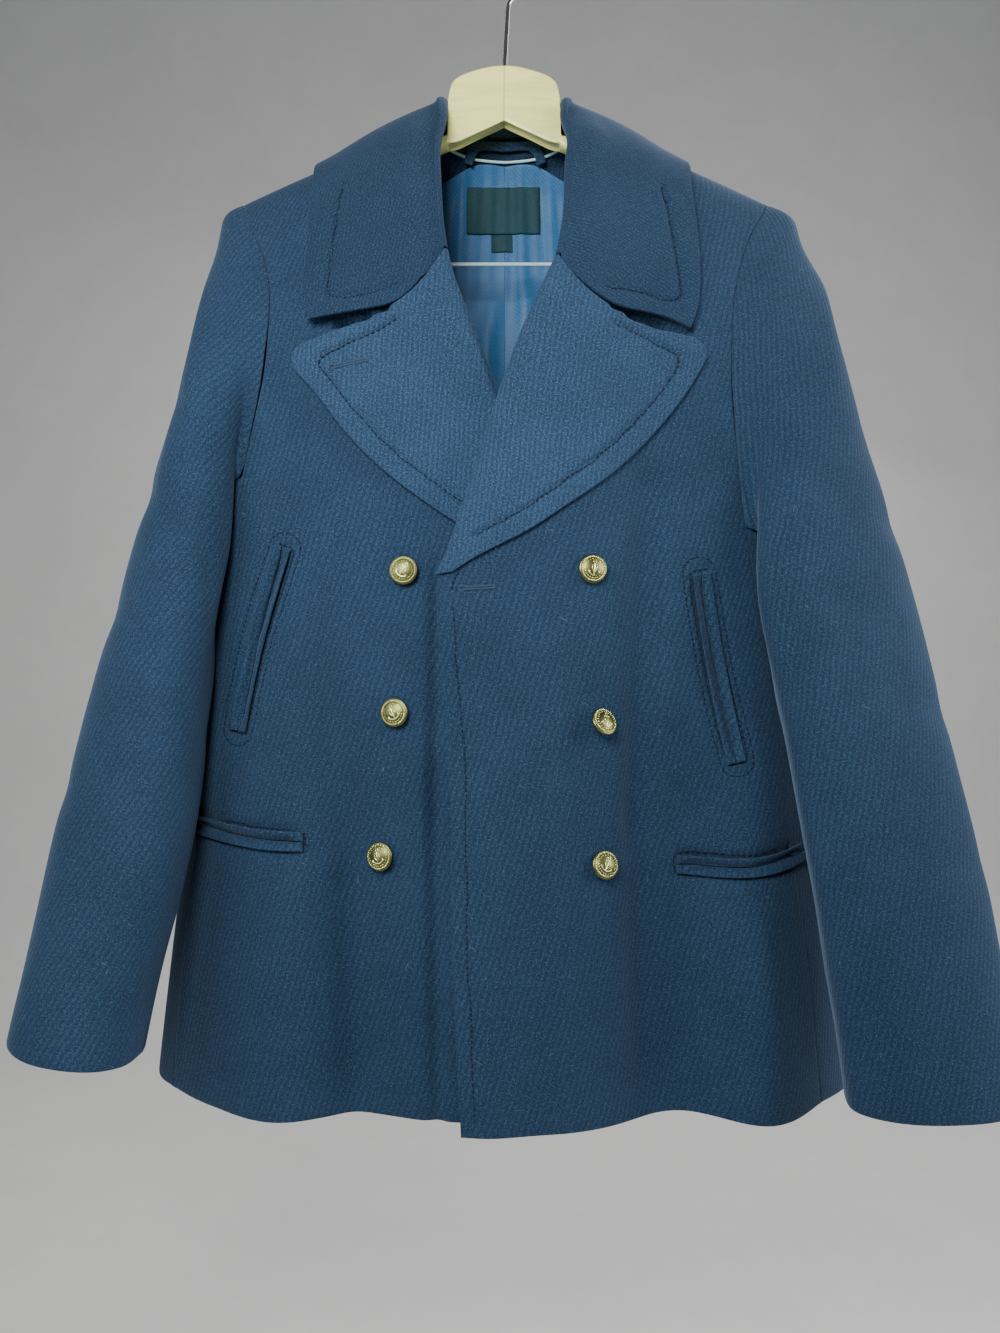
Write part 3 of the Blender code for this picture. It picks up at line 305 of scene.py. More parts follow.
class Tree:
    """A short way to write a node tree."""

    def __init__(self, tree: bpy.types.NodeTree) -> None:
        """Keep the tree that nodes go into."""
        self.tree = tree

    def put(self, node: bpy.types.Node, inputs: dict) -> bpy.types.Node:
        """Set a node's sockets.

        Args:
            node: The node.
            inputs: Socket name or number to a value or to another node's output.

        Returns:
            The same node.
        """
        for key, value in inputs.items():
            if isinstance(value, Socket):
                self.tree.links.new(value, node.inputs[key])
            else:
                node.inputs[key].default_value = value
        return node

    def node(self, kind: str, inputs: Optional[dict] = None, **settings: object) -> bpy.types.Node:
        """Add a node.

        Args:
            kind: Blender's name of the node's type, without the words that all share.
            inputs: Socket name or number to a value or to another node's output.
            settings: Properties of the node.

        Returns:
            The node.
        """
        made = self.tree.nodes.new(kind if kind.startswith("Node") else "ShaderNode" + kind)
        for key, value in settings.items():
            setattr(made, key, value)
        return self.put(made, inputs or {})

    def maths(self, what: str, *values: object) -> Socket:
        """Work out a sum on numbers or sockets and return its output."""
        return self.node("Math", dict(enumerate(values)), operation=what).outputs[0]

    def times(self, one: Socket, two: object) -> Socket:
        """Multiply two values and return the output."""
        return self.maths("MULTIPLY", one, two)

    def linear(self, value: Socket, gain: object, base: object) -> Socket:
        """Multiply a value, add a base and return the output."""
        return self.maths("MULTIPLY_ADD", value, gain, base)

    def waves(self, value: Socket) -> Socket:
        """Turn a count of repeats into waves from 0 to 1 and return the output."""
        return self.linear(self.maths("COSINE", self.times(value, FULL_TURN)), 0.5, 0.5)

    def vectors(self, what: str, *values: object) -> Socket:
        """Work out a sum on vectors and return its output."""
        return self.node("VectorMath", dict(enumerate(values)), operation=what).outputs[0]

    def turned(self, where: Socket, angle: object) -> Socket:
        """Turn coordinates about Z and return the output."""
        return self.node("VectorRotate", {"Vector": where, "Angle": angle},
                         rotation_type="Z_AXIS").outputs[0]

    def noise(self, where: Socket, scale: object, detail: float, **more: float) -> bpy.types.Node:
        """Add smooth noise and return its node."""
        return self.node("TexNoise", {"Vector": where, "Scale": scale, "Detail": detail, **more})

    def mixed(self, share: object, low: object, high: object) -> Socket:
        """Mix two colours and return the output."""
        return self.node("Mix", {0: share, 6: low, 7: high}, data_type="RGBA").outputs[2]

    def ramp(self, value: Socket, low: float, high: float) -> Socket:
        """Stretch a value's range between two limits to 0 and 1 and return the output."""
        return self.node("MapRange", {0: value, 1: low, 2: high},
                         interpolation_type="SMOOTHSTEP").outputs[0]

    def bump(self, height: Socket, distance: float, strength: float = 1.0) -> Socket:
        """Turn a height into a normal and return the output."""
        return self.node("Bump", {"Height": height, "Distance": distance,
                                  "Strength": strength}).outputs[0]

    def place(self, effect: "Effect", where: Socket, **values: object) -> bpy.types.Node:
        """Place a shared effect with its own values, with _ for a space in a name."""
        named = {key.replace("_", " "): value for key, value in values.items()}
        return self.node("Group", {"Vector": where, **named}, node_tree=effect.group())


@dataclass(frozen=True)
class Effect:
    """A node group that materials share: names and defaults of its inputs, and its outputs."""

    name: str
    fill: Callable[[Tree, dict], dict]
    inputs: tuple[tuple[str, object], ...]
    outputs: tuple[str, ...]

    def group(self) -> bpy.types.NodeTree:
        """Build the group the first time.

        Returns:
            The group.
        """
        if self.name in bpy.data.node_groups:
            return bpy.data.node_groups[self.name]
        made = bpy.data.node_groups.new(self.name, "ShaderNodeTree")
        face = made.interface
        face.new_socket(name="Vector", in_out="INPUT", socket_type="NodeSocketVector")
        for label, default in self.inputs:
            kind = "NodeSocketVector" if isinstance(default, tuple) else "NodeSocketFloat"
            face.new_socket(name=label, in_out="INPUT", socket_type=kind).default_value = default
        for label in self.outputs:
            face.new_socket(name=label, in_out="OUTPUT", socket_type="NodeSocketFloat")
        tree = Tree(made)
        source = tree.node("NodeGroupInput")
        sink = tree.node("NodeGroupOutput")
        given = {label: source.outputs[label] for label in ("Vector", *dict(self.inputs))}
        tree.put(sink, self.fill(tree, given))
        return made


def weave_twill(tree: Tree, given: dict) -> dict[str, Socket]:
    """Weave diagonal ribs, each one a row of floats.

    Args:
        tree: Tree of the group.
        given: Its inputs.

    Returns:
        Its outputs.
    """
    drift_scale, gap_scale, gap_range, brick_shift = 42.0, 210.0, (0.3, 0.62), 0.37
    where = given["Vector"]
    drift = tree.noise(where, drift_scale, 2.0).outputs["Color"]
    moved = tree.node("VectorMath", {0: tree.vectors("SUBTRACT", drift, (0.5, 0.5, 0.5)),
                                     "Scale": given["Wander"]}, operation="SCALE")
    turned = tree.turned(tree.vectors("ADD", where, moved.outputs[0]), given["Lean"])
    parts = tree.node("SeparateXYZ", {0: turned})
    across = tree.maths("DIVIDE", parts.outputs[0], given["Pitch"])
    along = tree.maths("DIVIDE", parts.outputs[1], given["Float length"])
    rib = tree.waves(across)
    dash = tree.waves(tree.linear(tree.maths("ROUND", across), brick_shift, along))
    whole = tree.ramp(tree.noise(where, gap_scale, 2.0).outputs["Fac"], *gap_range)
    woven = tree.times(rib, tree.linear(dash, 0.45, 0.55))
    return {"Rib": rib, "Height": tree.times(woven, tree.linear(whole, 0.6, 0.4))}


def raise_nap(tree: Tree, given: dict) -> dict[str, Socket]:
    """Brush up short fuzz with sparse pale fibres.

    Args:
        tree: Tree of the group.
        given: Its inputs.

    Returns:
        Its outputs.
    """
    directions, pull, sparse = ((0.4, 130.0), (1.9, 150.0)), (1.0, 7.0, 1.0), (0.735, 0.79)
    where = given["Vector"]
    fuzz = tree.noise(where, given["Scale"], 4.0, Roughness=0.65)
    strands = []
    for angle, scale in directions:
        pulled = tree.vectors("MULTIPLY", tree.turned(where, angle), pull)
        layer = tree.noise(pulled, scale, 1.0, Distortion=0.6)
        strands.append(tree.ramp(layer.outputs["Fac"], *sparse))
    lint = tree.times(tree.maths("MAXIMUM", *strands), given["Lint amount"])
    return {"Fuzz": fuzz.outputs["Fac"], "Lint": lint}


def vary_tone(tree: Tree, given: dict) -> dict[str, Socket]:
    """Change the tone slowly over a surface, as of handling and dye.

    Args:
        tree: Tree of the group.
        given: Its inputs.

    Returns:
        Its outputs.
    """
    scales, shown = ((7.0, 0.6), (31.0, 0.4)), (0.34, 0.66)
    layers = [tree.times(tree.noise(given["Vector"], scale, 2.0).outputs["Fac"], share)
              for scale, share in scales]
    return {"Tone": tree.ramp(tree.maths("ADD", *layers), *shown)}


def grow_grain(tree: Tree, given: dict) -> dict[str, Socket]:
    """Draw long streaks of wood grain.

    Args:
        tree: Tree of the group.
        given: Its inputs.

    Returns:
        Its outputs.
    """
    band_scale, band_range, pore_scale, pore_range = 60.0, (0.35, 0.7), 420.0, (0.52, 0.75)
    pulled = tree.vectors("MULTIPLY", given["Vector"], given["Stretch"])
    bands = tree.noise(pulled, band_scale, 3.0, Distortion=1.2)
    pores = tree.noise(pulled, pore_scale, 2.0)
    return {"Bands": tree.ramp(bands.outputs["Fac"], *band_range),
            "Pores": tree.ramp(pores.outputs["Fac"], *pore_range)}


def rub_wear(tree: Tree, given: dict) -> dict[str, Socket]:
    """Find rubbed high places, and low places that hold dirt.

    Args:
        tree: Tree of the group.
        given: Its inputs.

    Returns:
        Its outputs.
    """
    uneven, high, low = 0.06, (0.5, 0.56), (0.49, 0.43)
    spots = tree.noise(given["Vector"], given["Scale"], 3.0)
    form = tree.node("NewGeometry").outputs["Pointiness"]
    height = tree.maths("ADD", form, tree.linear(spots.outputs["Fac"], uneven, -uneven / 2))
    return {"Rubbed": tree.ramp(height, *high), "Held dirt": tree.ramp(height, *low)}


TWILL = Effect("twill_ribs", weave_twill,
               (("Pitch", 0.004), ("Lean", 0.35), ("Float length", 0.004), ("Wander", 0.002)),
               ("Rib", "Height"))
NAP = Effect("brushed_nap", raise_nap, (("Scale", 900.0), ("Lint amount", 0.5)),
             ("Fuzz", "Lint"))
TONE = Effect("slow_tone", vary_tone, (), ("Tone",))
GRAIN = Effect("wood_grain", grow_grain, (("Stretch", (0.12, 1.0, 1.0)),), ("Bands", "Pores"))
WEAR = Effect("rubbed_wear", rub_wear, (("Scale", 90.0),), ("Rubbed", "Held dirt"))


class Coordinates(Enum):
    """Which coordinates a finish follows."""

    FLAT_CUT = "UV"
    SPACE = "Object"


@dataclass(frozen=True)
class Finish:
    """A finish: what every material of this object shares."""

    name: str
    slot: str
    colour: Spot
    follows: Coordinates = Coordinates.FLAT_CUT

    def begin(self) -> tuple[bpy.types.Material, Tree, bpy.types.Node, Socket]:
        """Start the material.

        Returns:
            The material, its tree, its Principled shader and the coordinates it follows.
        """
        material = bpy.data.materials.new(self.name)
        material.use_nodes = True
        material.node_tree.nodes.clear()
        material.diffuse_color = self.shade(1.0)
        tree = Tree(material.node_tree)
        shader = tree.node("BsdfPrincipled")
        tree.node("OutputMaterial", {"Surface": shader.outputs[0]})
        where = tree.node("TexCoord").outputs[self.follows.value]
        return material, tree, shader, where

    def shade(self, share: float) -> tuple[float, float, float, float]:
        """Scale the colour's brightness and add alpha."""
        red, green, blue = self.colour
        return red * share, green * share, blue * share, 1.0

    def between(self, tree: Tree, share: Socket, low: float, high: float) -> Socket:
        """Mix a darker and a lighter shade and return the output."""
        return tree.mixed(share, self.shade(low), self.shade(high))

    def toned(self, tree: Tree, where: Socket, low: float, high: float) -> Socket:
        """Vary the colour slowly between two shades and return the output."""
        return self.between(tree, tree.place(TONE, where).outputs["Tone"], low, high)


@dataclass(frozen=True)
class WoolTwill(Finish):
    """Brushed wool twill: its ribs in metres, their depth in millimetres, its nap and lint.

    Gaps, specks and fuzz each have a shade of the colour and the share that they cover.
    The darker gaps between the ribs are painted shade.
    """

    pitch: float = 0.0041
    lean: float = 0.33
    rib_depth: float = 0.35
    lint: float = 0.35
    lint_colour: Spot = (0.16, 0.2, 0.25)
    float_length: float = 0.0046
    wander: float = 0.0045
    nap_scale: float = 900.0
    tones: Pair = (0.86, 1.12)
    gaps: Pair = (0.36, 0.52)
    specks: Pair = (0.25, 0.65)
    fuzz: Pair = (2.9, 0.62)
    specular: float = 0.12
    sheen: float = 0.22
    sheen_roughness: float = 0.42
    sheen_tint: Spot = (0.5, 0.68, 0.95)

    def material(self) -> bpy.types.Material:
        """Build the material.

        Returns:
            The material.
        """
        material, tree, shader, where = self.begin()
        ribs = tree.place(TWILL, where, Pitch=self.pitch, Lean=self.lean,
                          Float_length=self.float_length, Wander=self.wander)
        nap = tree.place(NAP, where, Scale=self.nap_scale, Lint_amount=self.lint)
        height, fuzz = ribs.outputs["Height"], nap.outputs["Fuzz"]
        base = self.toned(tree, where, *self.tones)
        # Painted shade: the gaps between the ribs are darker than the ribs.
        low = tree.mixed(self.gaps[1], base, self.shade(self.gaps[0]))
        cloth = tree.mixed(tree.ramp(height, 0.0, 0.7), low, base)
        for end, (shade, share) in ((0.32, self.specks), (0.7, self.fuzz)):
            cover = tree.times(tree.ramp(fuzz, 0.5, end), share)
            cloth = tree.mixed(cover, cloth, self.shade(shade))
        tree.put(shader, {
            "Base Color": tree.mixed(nap.outputs["Lint"], cloth, (*self.lint_colour, 1.0)),
            "Roughness": tree.linear(fuzz, -0.12, 0.97),
            "Normal": tree.bump(tree.linear(fuzz, 0.5, height), self.rib_depth * MM, 0.75),
            "Specular IOR Level": self.specular,
            "Sheen Weight": self.sheen,
            "Sheen Roughness": self.sheen_roughness,
            "Sheen Tint": (*self.sheen_tint, 1.0)})
        return material


@dataclass(frozen=True)
class Satin(Finish):
    """Smooth lining satin, and ribbon of the same kind, with its ribs in metres."""

    gloss: float = 0.4
    specular: float = 0.5
    sheen: float = 0.0
    along: float = 0.45
    pitch: float = 0.0023
    lean: float = -0.75
    float_length: float = 0.003
    wander: float = 0.0004
    relief: float = 0.000105
    tones: Pair = (0.82, 1.15)
    ribs: Pair = (0.8, 2.0)

    def material(self) -> bpy.types.Material:
        """Build the material.

        Returns:
            The material.
        """
        material, tree, shader, where = self.begin()
        ribs = tree.place(TWILL, where, Pitch=self.pitch, Lean=self.lean,
                          Float_length=self.float_length, Wander=self.wander)
        height = ribs.outputs["Height"]
        # Painted highlight: the ribs' raised floats are lighter than the gaps between them.
        woven = self.between(tree, tree.times(height, 0.6), *self.ribs)
        tree.put(shader, {
            "Base Color": tree.mixed(0.35, woven, self.toned(tree, where, *self.tones)),
            "Roughness": tree.linear(ribs.outputs["Rib"], 0.1, self.gloss),
            "Normal": tree.bump(height, self.relief, 0.4),
            "Anisotropic": self.along,
            "Specular IOR Level": self.specular,
            "Sheen Weight": self.sheen})
        return material


@dataclass(frozen=True)
class Thread(Finish):
    """Twisted sewing thread."""

    follows: Coordinates = Coordinates.SPACE
    nap_scale: float = 2400.0
    tones: Pair = (0.7, 1.4)
    roughness: float = 0.55
    specular: float = 0.2

    def material(self) -> bpy.types.Material:
        """Build the material.

        Returns:
            The material.
        """
        material, tree, shader, where = self.begin()
        fuzz = tree.place(NAP, where, Scale=self.nap_scale, Lint_amount=0.1).outputs["Fuzz"]
        tree.put(shader, {
            "Base Color": self.between(tree, fuzz, *self.tones),
            "Roughness": self.roughness,
            "Normal": tree.bump(fuzz, 0.1 * MM),
            "Specular IOR Level": self.specular})
        return material


@dataclass(frozen=True)
class DullMetal(Finish):
    """Plated metal with rubbed high places and dirt in the low ones."""

    follows: Coordinates = Coordinates.SPACE
    roughness: float = 0.34
    low_colour: Spot = (0.13, 0.13, 0.06)
    rubbed: float = 0.7
    dirt: float = 0.85
    wear_scale: float = 240.0
    tones: Pair = (0.85, 1.1)
    bright: float = 1.35

    def material(self) -> bpy.types.Material:
        """Build the material.

        Returns:
            The material.
        """
        material, tree, shader, where = self.begin()
        wear = tree.place(WEAR, where, Scale=self.wear_scale)
        rubbed, dirt = wear.outputs["Rubbed"], wear.outputs["Held dirt"]
        base = self.toned(tree, where, *self.tones)
        dark = tree.mixed(tree.times(dirt, self.dirt), base, (*self.low_colour, 1.0))
        smear = tree.linear(rubbed, -0.1, self.roughness)
        tree.put(shader, {
            "Base Color": tree.mixed(tree.times(rubbed, self.rubbed), dark,
                                     self.shade(self.bright)),
            "Roughness": tree.linear(dirt, 0.3, smear),
            "Metallic": 1.0})
        return material


@dataclass(frozen=True)
class Maple(Finish):
    """Pale varnished maple.

    Pores and rubbed places each have a shade of the colour and the share that they cover.
    """

    follows: Coordinates = Coordinates.SPACE
    stretch: Spot = (0.14, 1.0, 1.0)
    wear_scale: float = 60.0
    tones: Pair = (0.86, 1.06)
    pores: Pair = (0.62, 0.3)
    rubbed: Pair = (1.2, 0.25)
    pore_depth: float = 0.08
    coat: float = 0.35
    coat_roughness: float = 0.2

    def material(self) -> bpy.types.Material:
        """Build the material.

        Returns:
            The material.
        """
        material, tree, shader, where = self.begin()
        grain = tree.place(GRAIN, where, Stretch=self.stretch)
        pores = grain.outputs["Pores"]
        rubbed = tree.place(WEAR, where, Scale=self.wear_scale).outputs["Rubbed"]
        wood = self.between(tree, grain.outputs["Bands"], *self.tones)
        for mask, (shade, share) in ((pores, self.pores), (rubbed, self.rubbed)):
            wood = tree.mixed(tree.times(mask, share), wood, self.shade(shade))
        tree.put(shader, {
            "Base Color": wood,
            "Roughness": tree.linear(pores, 0.2, 0.36),
            "Normal": tree.bump(pores, -self.pore_depth * MM, 0.5),
            "Coat Weight": self.coat,
            "Coat Roughness": self.coat_roughness})
        return material


@dataclass(frozen=True)
class Plain(Finish):
    """Backdrop paper."""

    follows: Coordinates = Coordinates.SPACE

    def material(self) -> bpy.types.Material:
        """Build the material.

        Returns:
            The material.
        """
        material, tree, shader, where = self.begin()
        tree.put(shader, {"Base Color": self.toned(tree, where, 0.98, 1.02), "Roughness": 0.85})
        return material


MELTON = WoolTwill("wool_twill", "melton", (0.0202, 0.0478, 0.0935))
# The collar's melton, the body's wool with its colour made darker: painted shade.
COLLAR_MELTON_PAINTED_SHADE = WoolTwill("collar_twill_painted_shade", "melton", (0.0176, 0.0412, 0.081), pitch=0.0026,
                          lean=1.1, rib_depth=0.22, lint=0.25)
# The lapels' melton, the body's wool with its colour made lighter: painted light.
LAPEL_MELTON_PAINTED_LIGHT = WoolTwill("lapel_twill_painted_light", "melton", (0.0285, 0.064, 0.124), pitch=0.0034,
                         lean=0.12, rib_depth=0.25, lint=0.25)
LINING = Satin("lining_satin", "lining", (0.031, 0.138, 0.315), gloss=0.42, specular=0.25,
               along=0.3)
PIPING = Satin("piping_satin", "piping", (0.5, 0.78, 0.82), sheen=0.2)
LABEL = Satin("label_weave", "label", (0.018, 0.06, 0.076), gloss=0.6, specular=0.15, along=0.0)
# Navy thread made much darker than the cloth: painted shade of the stitched grooves.
NAVY_THREAD_GROOVE_SHADE = Thread("navy_thread_groove_shade", "melton", (0.005, 0.011, 0.024))
HOLE_THREAD = Thread("buttonhole_thread", "melton", (0.045, 0.08, 0.14))
BRASS = DullMetal("dull_brass", "button_brass", (0.82, 0.84, 0.38))
TARNISH = DullMetal("tarnished_brass", "button_brass", (0.19, 0.195, 0.07), roughness=0.4,
                    low_colour=(0.05, 0.045, 0.02), rubbed=0.4)
CHROME = DullMetal("hook_chrome", "chrome", (0.62, 0.62, 0.6), roughness=0.16,
                   low_colour=(0.2, 0.2, 0.2), rubbed=0.2)
MAPLE = Maple("varnished_maple", "maple", (0.98, 0.97, 0.33))
BAR_VARNISH = Maple("bar_varnish", "maple", (0.6, 0.85, 0.88))
PAPER = Plain("backdrop_paper", "", (0.78, 0.77, 0.75))


class Wardrobe:
    """Materials made so far, one of each finish."""

    made: dict[str, bpy.types.Material] = {}

    @classmethod
    def of(cls, finish: Finish) -> bpy.types.Material:
        """Build a finish's material the first time.

        Args:
            finish: The finish.

        Returns:
            Its material.
        """
        if finish.name not in cls.made:
            cls.made[finish.name] = finish.material()
        return cls.made[finish.name]


def dress(piece: bpy.types.Object, finish: Finish) -> None:
    """Give a piece its finish and let it ride on the coat.

    Args:
        piece: The object.
        finish: Its finish.
    """
    piece.data.materials.clear()
    piece.data.materials.append(Wardrobe.of(finish))
    piece.data.shade_smooth()
    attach(piece, BODY)
    LOG.info("%s: %d faces, %s", piece.name, len(piece.data.polygons), finish.name)


# ---------------------------------------------------------------- cloth


class Facing(Enum):
    """Which skin of a wall of cloth shows."""

    OUTWARD = "the skin with the greater area"
    FORWARD = "the skin towards the front"


@dataclass(frozen=True)
class Crease:
    """A soft valley across the cloth between two places, as x and z in millimetres.

    A negative depth raises a ridge.
    """

    start: Pair
    end: Pair
    depth: float
    width: float

    def press(self, points: np.ndarray) -> np.ndarray:
        """Work out how deep the valley is.

        Args:
            points: Places in metres, one row each.

        Returns:
            Depth in metres at each place.
        """
        foot = np.array(self.start) * MM
        run = np.array(self.end) * MM - foot
        away = points[:, (0, 2)] - foot
        share = away @ run / (run @ run)
        held = np.clip(share, 0.0, 1.0)
        gap = np.linalg.norm(away - held[:, None] * run, axis=1) / (self.width * MM)
        taper = smooth_step(np.minimum(share, 1.0 - share) * 2.5 + 0.5)
        return self.depth * MM * np.exp(-gap * gap) * taper


@dataclass
class Slack:
    """How a cloth swells and sags between its seams.

    Swells and lift are in millimetres. A cloth may add the slack of the one under it, and a
    sleeve joins the body's slack above the join heights.
    """

    depth: float
    cell: Spot = (0.06, 0.06, 0.13)
    seed: int = 3
    creases: tuple[Crease, ...] = ()
    lift: float = 0.0
    joins: Optional["Slack"] = None
    under: Optional["Slack"] = None
    join_z: Pair = (-0.3, -0.4)

    def at(self, points: np.ndarray) -> np.ndarray:
        """Work out how far the cloth moves outwards.

        Args:
            points: Places in metres, one row each.

        Returns:
            Distance in metres at each place.
        """
        if not self.joins:
            return self.own(points)
        high, low = self.join_z
        share = smooth_step((high - points[:, 2]) / (high - low))
        return self.joins.at(points) * (1.0 - share) + self.own(points) * share

    def own(self, points: np.ndarray) -> np.ndarray:
        """Work out the cloth's own swells and creases.

        Args:
            points: Places in metres, one row each.

        Returns:
            Distance in metres at each place.
        """
        wide = cloth_noise(points, self.cell, self.seed)
        small = cloth_noise(points, tuple(size * SMALL_SWELL for size in self.cell),
                            self.seed + SMALL_SEED)
        move = (self.depth * (0.8 * wide + 0.22 * small) + self.lift) * MM
        for crease in self.creases:
            move = move - crease.press(points)
        return move + self.under.at(points) if self.under else move


@dataclass
class Cage:
    """The coarse wall of a panel with its shown skin's edges found."""

    piece: bpy.types.Object
    edges: list[list[Vector]]


def skin_groups(mesh: bmesh.types.BMesh) -> list[int]:
    """Number the faces of a wall by smooth skin: two broad ones and the rims between.

    Args:
        mesh: The wall.

    Returns:
        Number of each face's skin.
    """
    group = [-1] * len(mesh.faces)
    count = 0
    for start in mesh.faces:
        if group[start.index] >= 0:
            continue
        group[start.index] = count
        waiting = [start]
        while waiting:
            for edge in waiting.pop().edges:
                if len(edge.link_faces) != 2 or edge.calc_face_angle(0.0) > FOLD_ANGLE:
                    continue
                for other in edge.link_faces:
                    if group[other.index] < 0:
                        group[other.index] = count
                        waiting.append(other)
        count += 1
    return group


def chains(pairs: list[tuple[int, int]], stops: set[int]) -> list[list[int]]:
    """Order edges into lines that end at the stops.

    Args:
        pairs: Vertex numbers of each edge.
        stops: Vertices where a line ends.

    Returns:
        Lines of vertex numbers.
    """
    beside: dict[int, list[int]] = {}
    for one, two in pairs:
        beside.setdefault(one, []).append(two)
        beside.setdefault(two, []).append(one)
    used: set[frozenset[int]] = set()
    lines: list[list[int]] = []
    for first in sorted(beside, key=lambda k: (k not in stops, k)):
        for second in beside[first]:
            if frozenset((first, second)) in used:
                continue
            used.add(frozenset((first, second)))
            line = [first, second]
            while line[-1] not in stops:
                ahead = [k for k in beside[line[-1]] if frozenset((line[-1], k)) not in used]
                if not ahead:
                    break
                used.add(frozenset((line[-1], ahead[0])))
                line.append(ahead[0])
            lines.append(line)
    return lines


def clean_wall(node: str) -> bmesh.types.BMesh:
    """Copy a solid's mesh with its triangles joined into quads.

    Args:
        node: Name of the solid.

    Returns:
        The copy.
    """
    mesh = bmesh.new()
    mesh.from_mesh(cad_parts[node].data)
    bmesh.ops.remove_doubles(mesh, verts=mesh.verts, dist=WELD)
    bmesh.ops.join_triangles(mesh, faces=mesh.faces, angle_face_threshold=QUAD_FACE_ANGLE,
                             angle_shape_threshold=QUAD_SHAPE_ANGLE, topology_influence=2.0)
    bmesh.ops.recalc_face_normals(mesh, faces=mesh.faces)
    mesh.faces.ensure_lookup_table()
    mesh.verts.index_update()
    mesh.faces.index_update()
    return mesh


def broad_skins(mesh: bmesh.types.BMesh, group: list[int], shown: Facing) -> tuple[set[int], int]:
    """Find a wall's two broad skins and the one that shows.

    Args:
        mesh: The wall.
        group: Number of each face's skin.
        shown: Which skin shows.

    Returns:
        Numbers of the broad skins, and of the shown one.
    """
    sizes: dict[int, float] = {}
    forward: dict[int, float] = {}
    for face in mesh.faces:
        key = group[face.index]
        sizes[key] = sizes.get(key, 0.0) + face.calc_area()
        forward[key] = forward.get(key, 0.0) - face.normal.y * face.calc_area()
    broad = sorted(sizes, key=lambda key: -sizes[key])[:2]
    if shown is Facing.OUTWARD:
        return set(broad), broad[0]
    return set(broad), max(broad, key=lambda key: forward[key])


def build_cage(node: str, shown: Facing, grain: Vector, rim: float) -> Cage:
    """Copy a panel's wall with clean quads, a flat cut for its coordinates and held corners.

    Args:
        node: Name of the panel's solid.
        shown: Which skin shows.
        grain: Direction of the cloth's length.
        rim: How sharp the edges of the wall's skins stay, from 0 to 1.

    Returns:
        The cage.
    """
    mesh = clean_wall(node)
    group = skin_groups(mesh)
    broad, skin = broad_skins(mesh, group, shown)
    out = mesh.verts.layers.float_vector.new("out")
    hold = mesh.verts.layers.float.new("crease_vert")
    hold_edge = mesh.edges.layers.float.new("crease_edge")
    tree = KDTree(len(mesh.verts))
    ways: dict[int, Vector] = {}
    corners: set[int] = set()
    for vert in mesh.verts:
        if len({group[face.index] for face in vert.link_faces}) > 2:
            corners.add(vert.index)
            vert[hold] = 1.0
        facing = [face for face in vert.link_faces if group[face.index] == skin]
        if facing:
            way = sum((face.normal * face.calc_area() for face in facing), Vector())
            ways[vert.index] = way.normalized()
            tree.insert(vert.co, vert.index)
    tree.balance()
    for vert in mesh.verts:
        vert[out] = ways.get(vert.index) or ways[tree.find(vert.co)[1]]
    border: list[tuple[int, int]] = []
    for edge in mesh.edges:
        groups = {group[face.index] for face in edge.link_faces}
        edge.seam = len(groups) > 1
        if edge.seam:
            edge[hold_edge] = rim if groups & broad else 1.0
        if edge.seam and skin in groups:
            border.append((edge.verts[0].index, edge.verts[1].index))
    spots = [vert.co.copy() for vert in mesh.verts]
    lines = [[spots[k] for k in line] for line in chains(border, corners)]
    data = bpy.data.meshes.new(node + "_cloth")
    mesh.to_mesh(data)
    mesh.free()
    piece = new_object(node + "_cloth", data)
    lay_flat(piece, np.array(group), grain)
    return Cage(piece, lines)


def lay_flat(piece: bpy.types.Object, group: np.ndarray, grain: Vector) -> None:
    """Give each skin the coordinates of its flat cut, in metres with the grain along V.

    Args:
        piece: The cage.
        group: Skin number of each face.
        grain: Direction of the cloth's length.
    """
    bpy.context.view_layer.objects.active = piece
    piece.select_set(True)
    data = piece.data
    if not data.uv_layers:
        data.uv_layers.new(name="flat_cut")
    bpy.ops.object.mode_set(mode="EDIT")
    bpy.ops.mesh.select_all(action="SELECT")
    bpy.ops.uv.unwrap(method="ANGLE_BASED", margin=FLAT_MARGIN)
    bpy.ops.object.mode_set(mode="OBJECT")
    piece.select_set(False)
    layer = data.uv_layers.active.data
    cut = read_rows(layer, "uv", 2)
    spots = read_rows(data.vertices, "co", 3)
    corner = np.empty(len(data.loops), np.int64)
    data.loops.foreach_get("vertex_index", corner)
    for key in np.unique(group):
        faces = [data.polygons[int(k)] for k in np.nonzero(group == key)[0]]
        rings = [np.arange(face.loop_start, face.loop_start + face.loop_total) for face in faces]
        loops = np.concatenate(rings)
        real = sum(face.area for face in faces)
        drawn = 0.0
        for ring in (cut[ring] for ring in rings):
            after = np.roll(ring, -1, axis=0)
            drawn += abs(float(np.sum(ring[:, 0] * after[:, 1] - after[:, 0] * ring[:, 1]))) / 2
        scale = math.sqrt(real / max(drawn, 1e-12))
        rise = spots[corner[loops]] @ np.array(grain)
        here = cut[loops] - cut[loops].mean(axis=0)
        slope = np.linalg.lstsq(here, rise - rise.mean(), rcond=None)[0]
        up = slope / (float(np.hypot(*slope)) or 1.0)
        cut[loops] = np.stack([here @ np.array([up[1], -up[0]]), here @ up], axis=1) * scale
    write_rows(layer, "uv", cut)


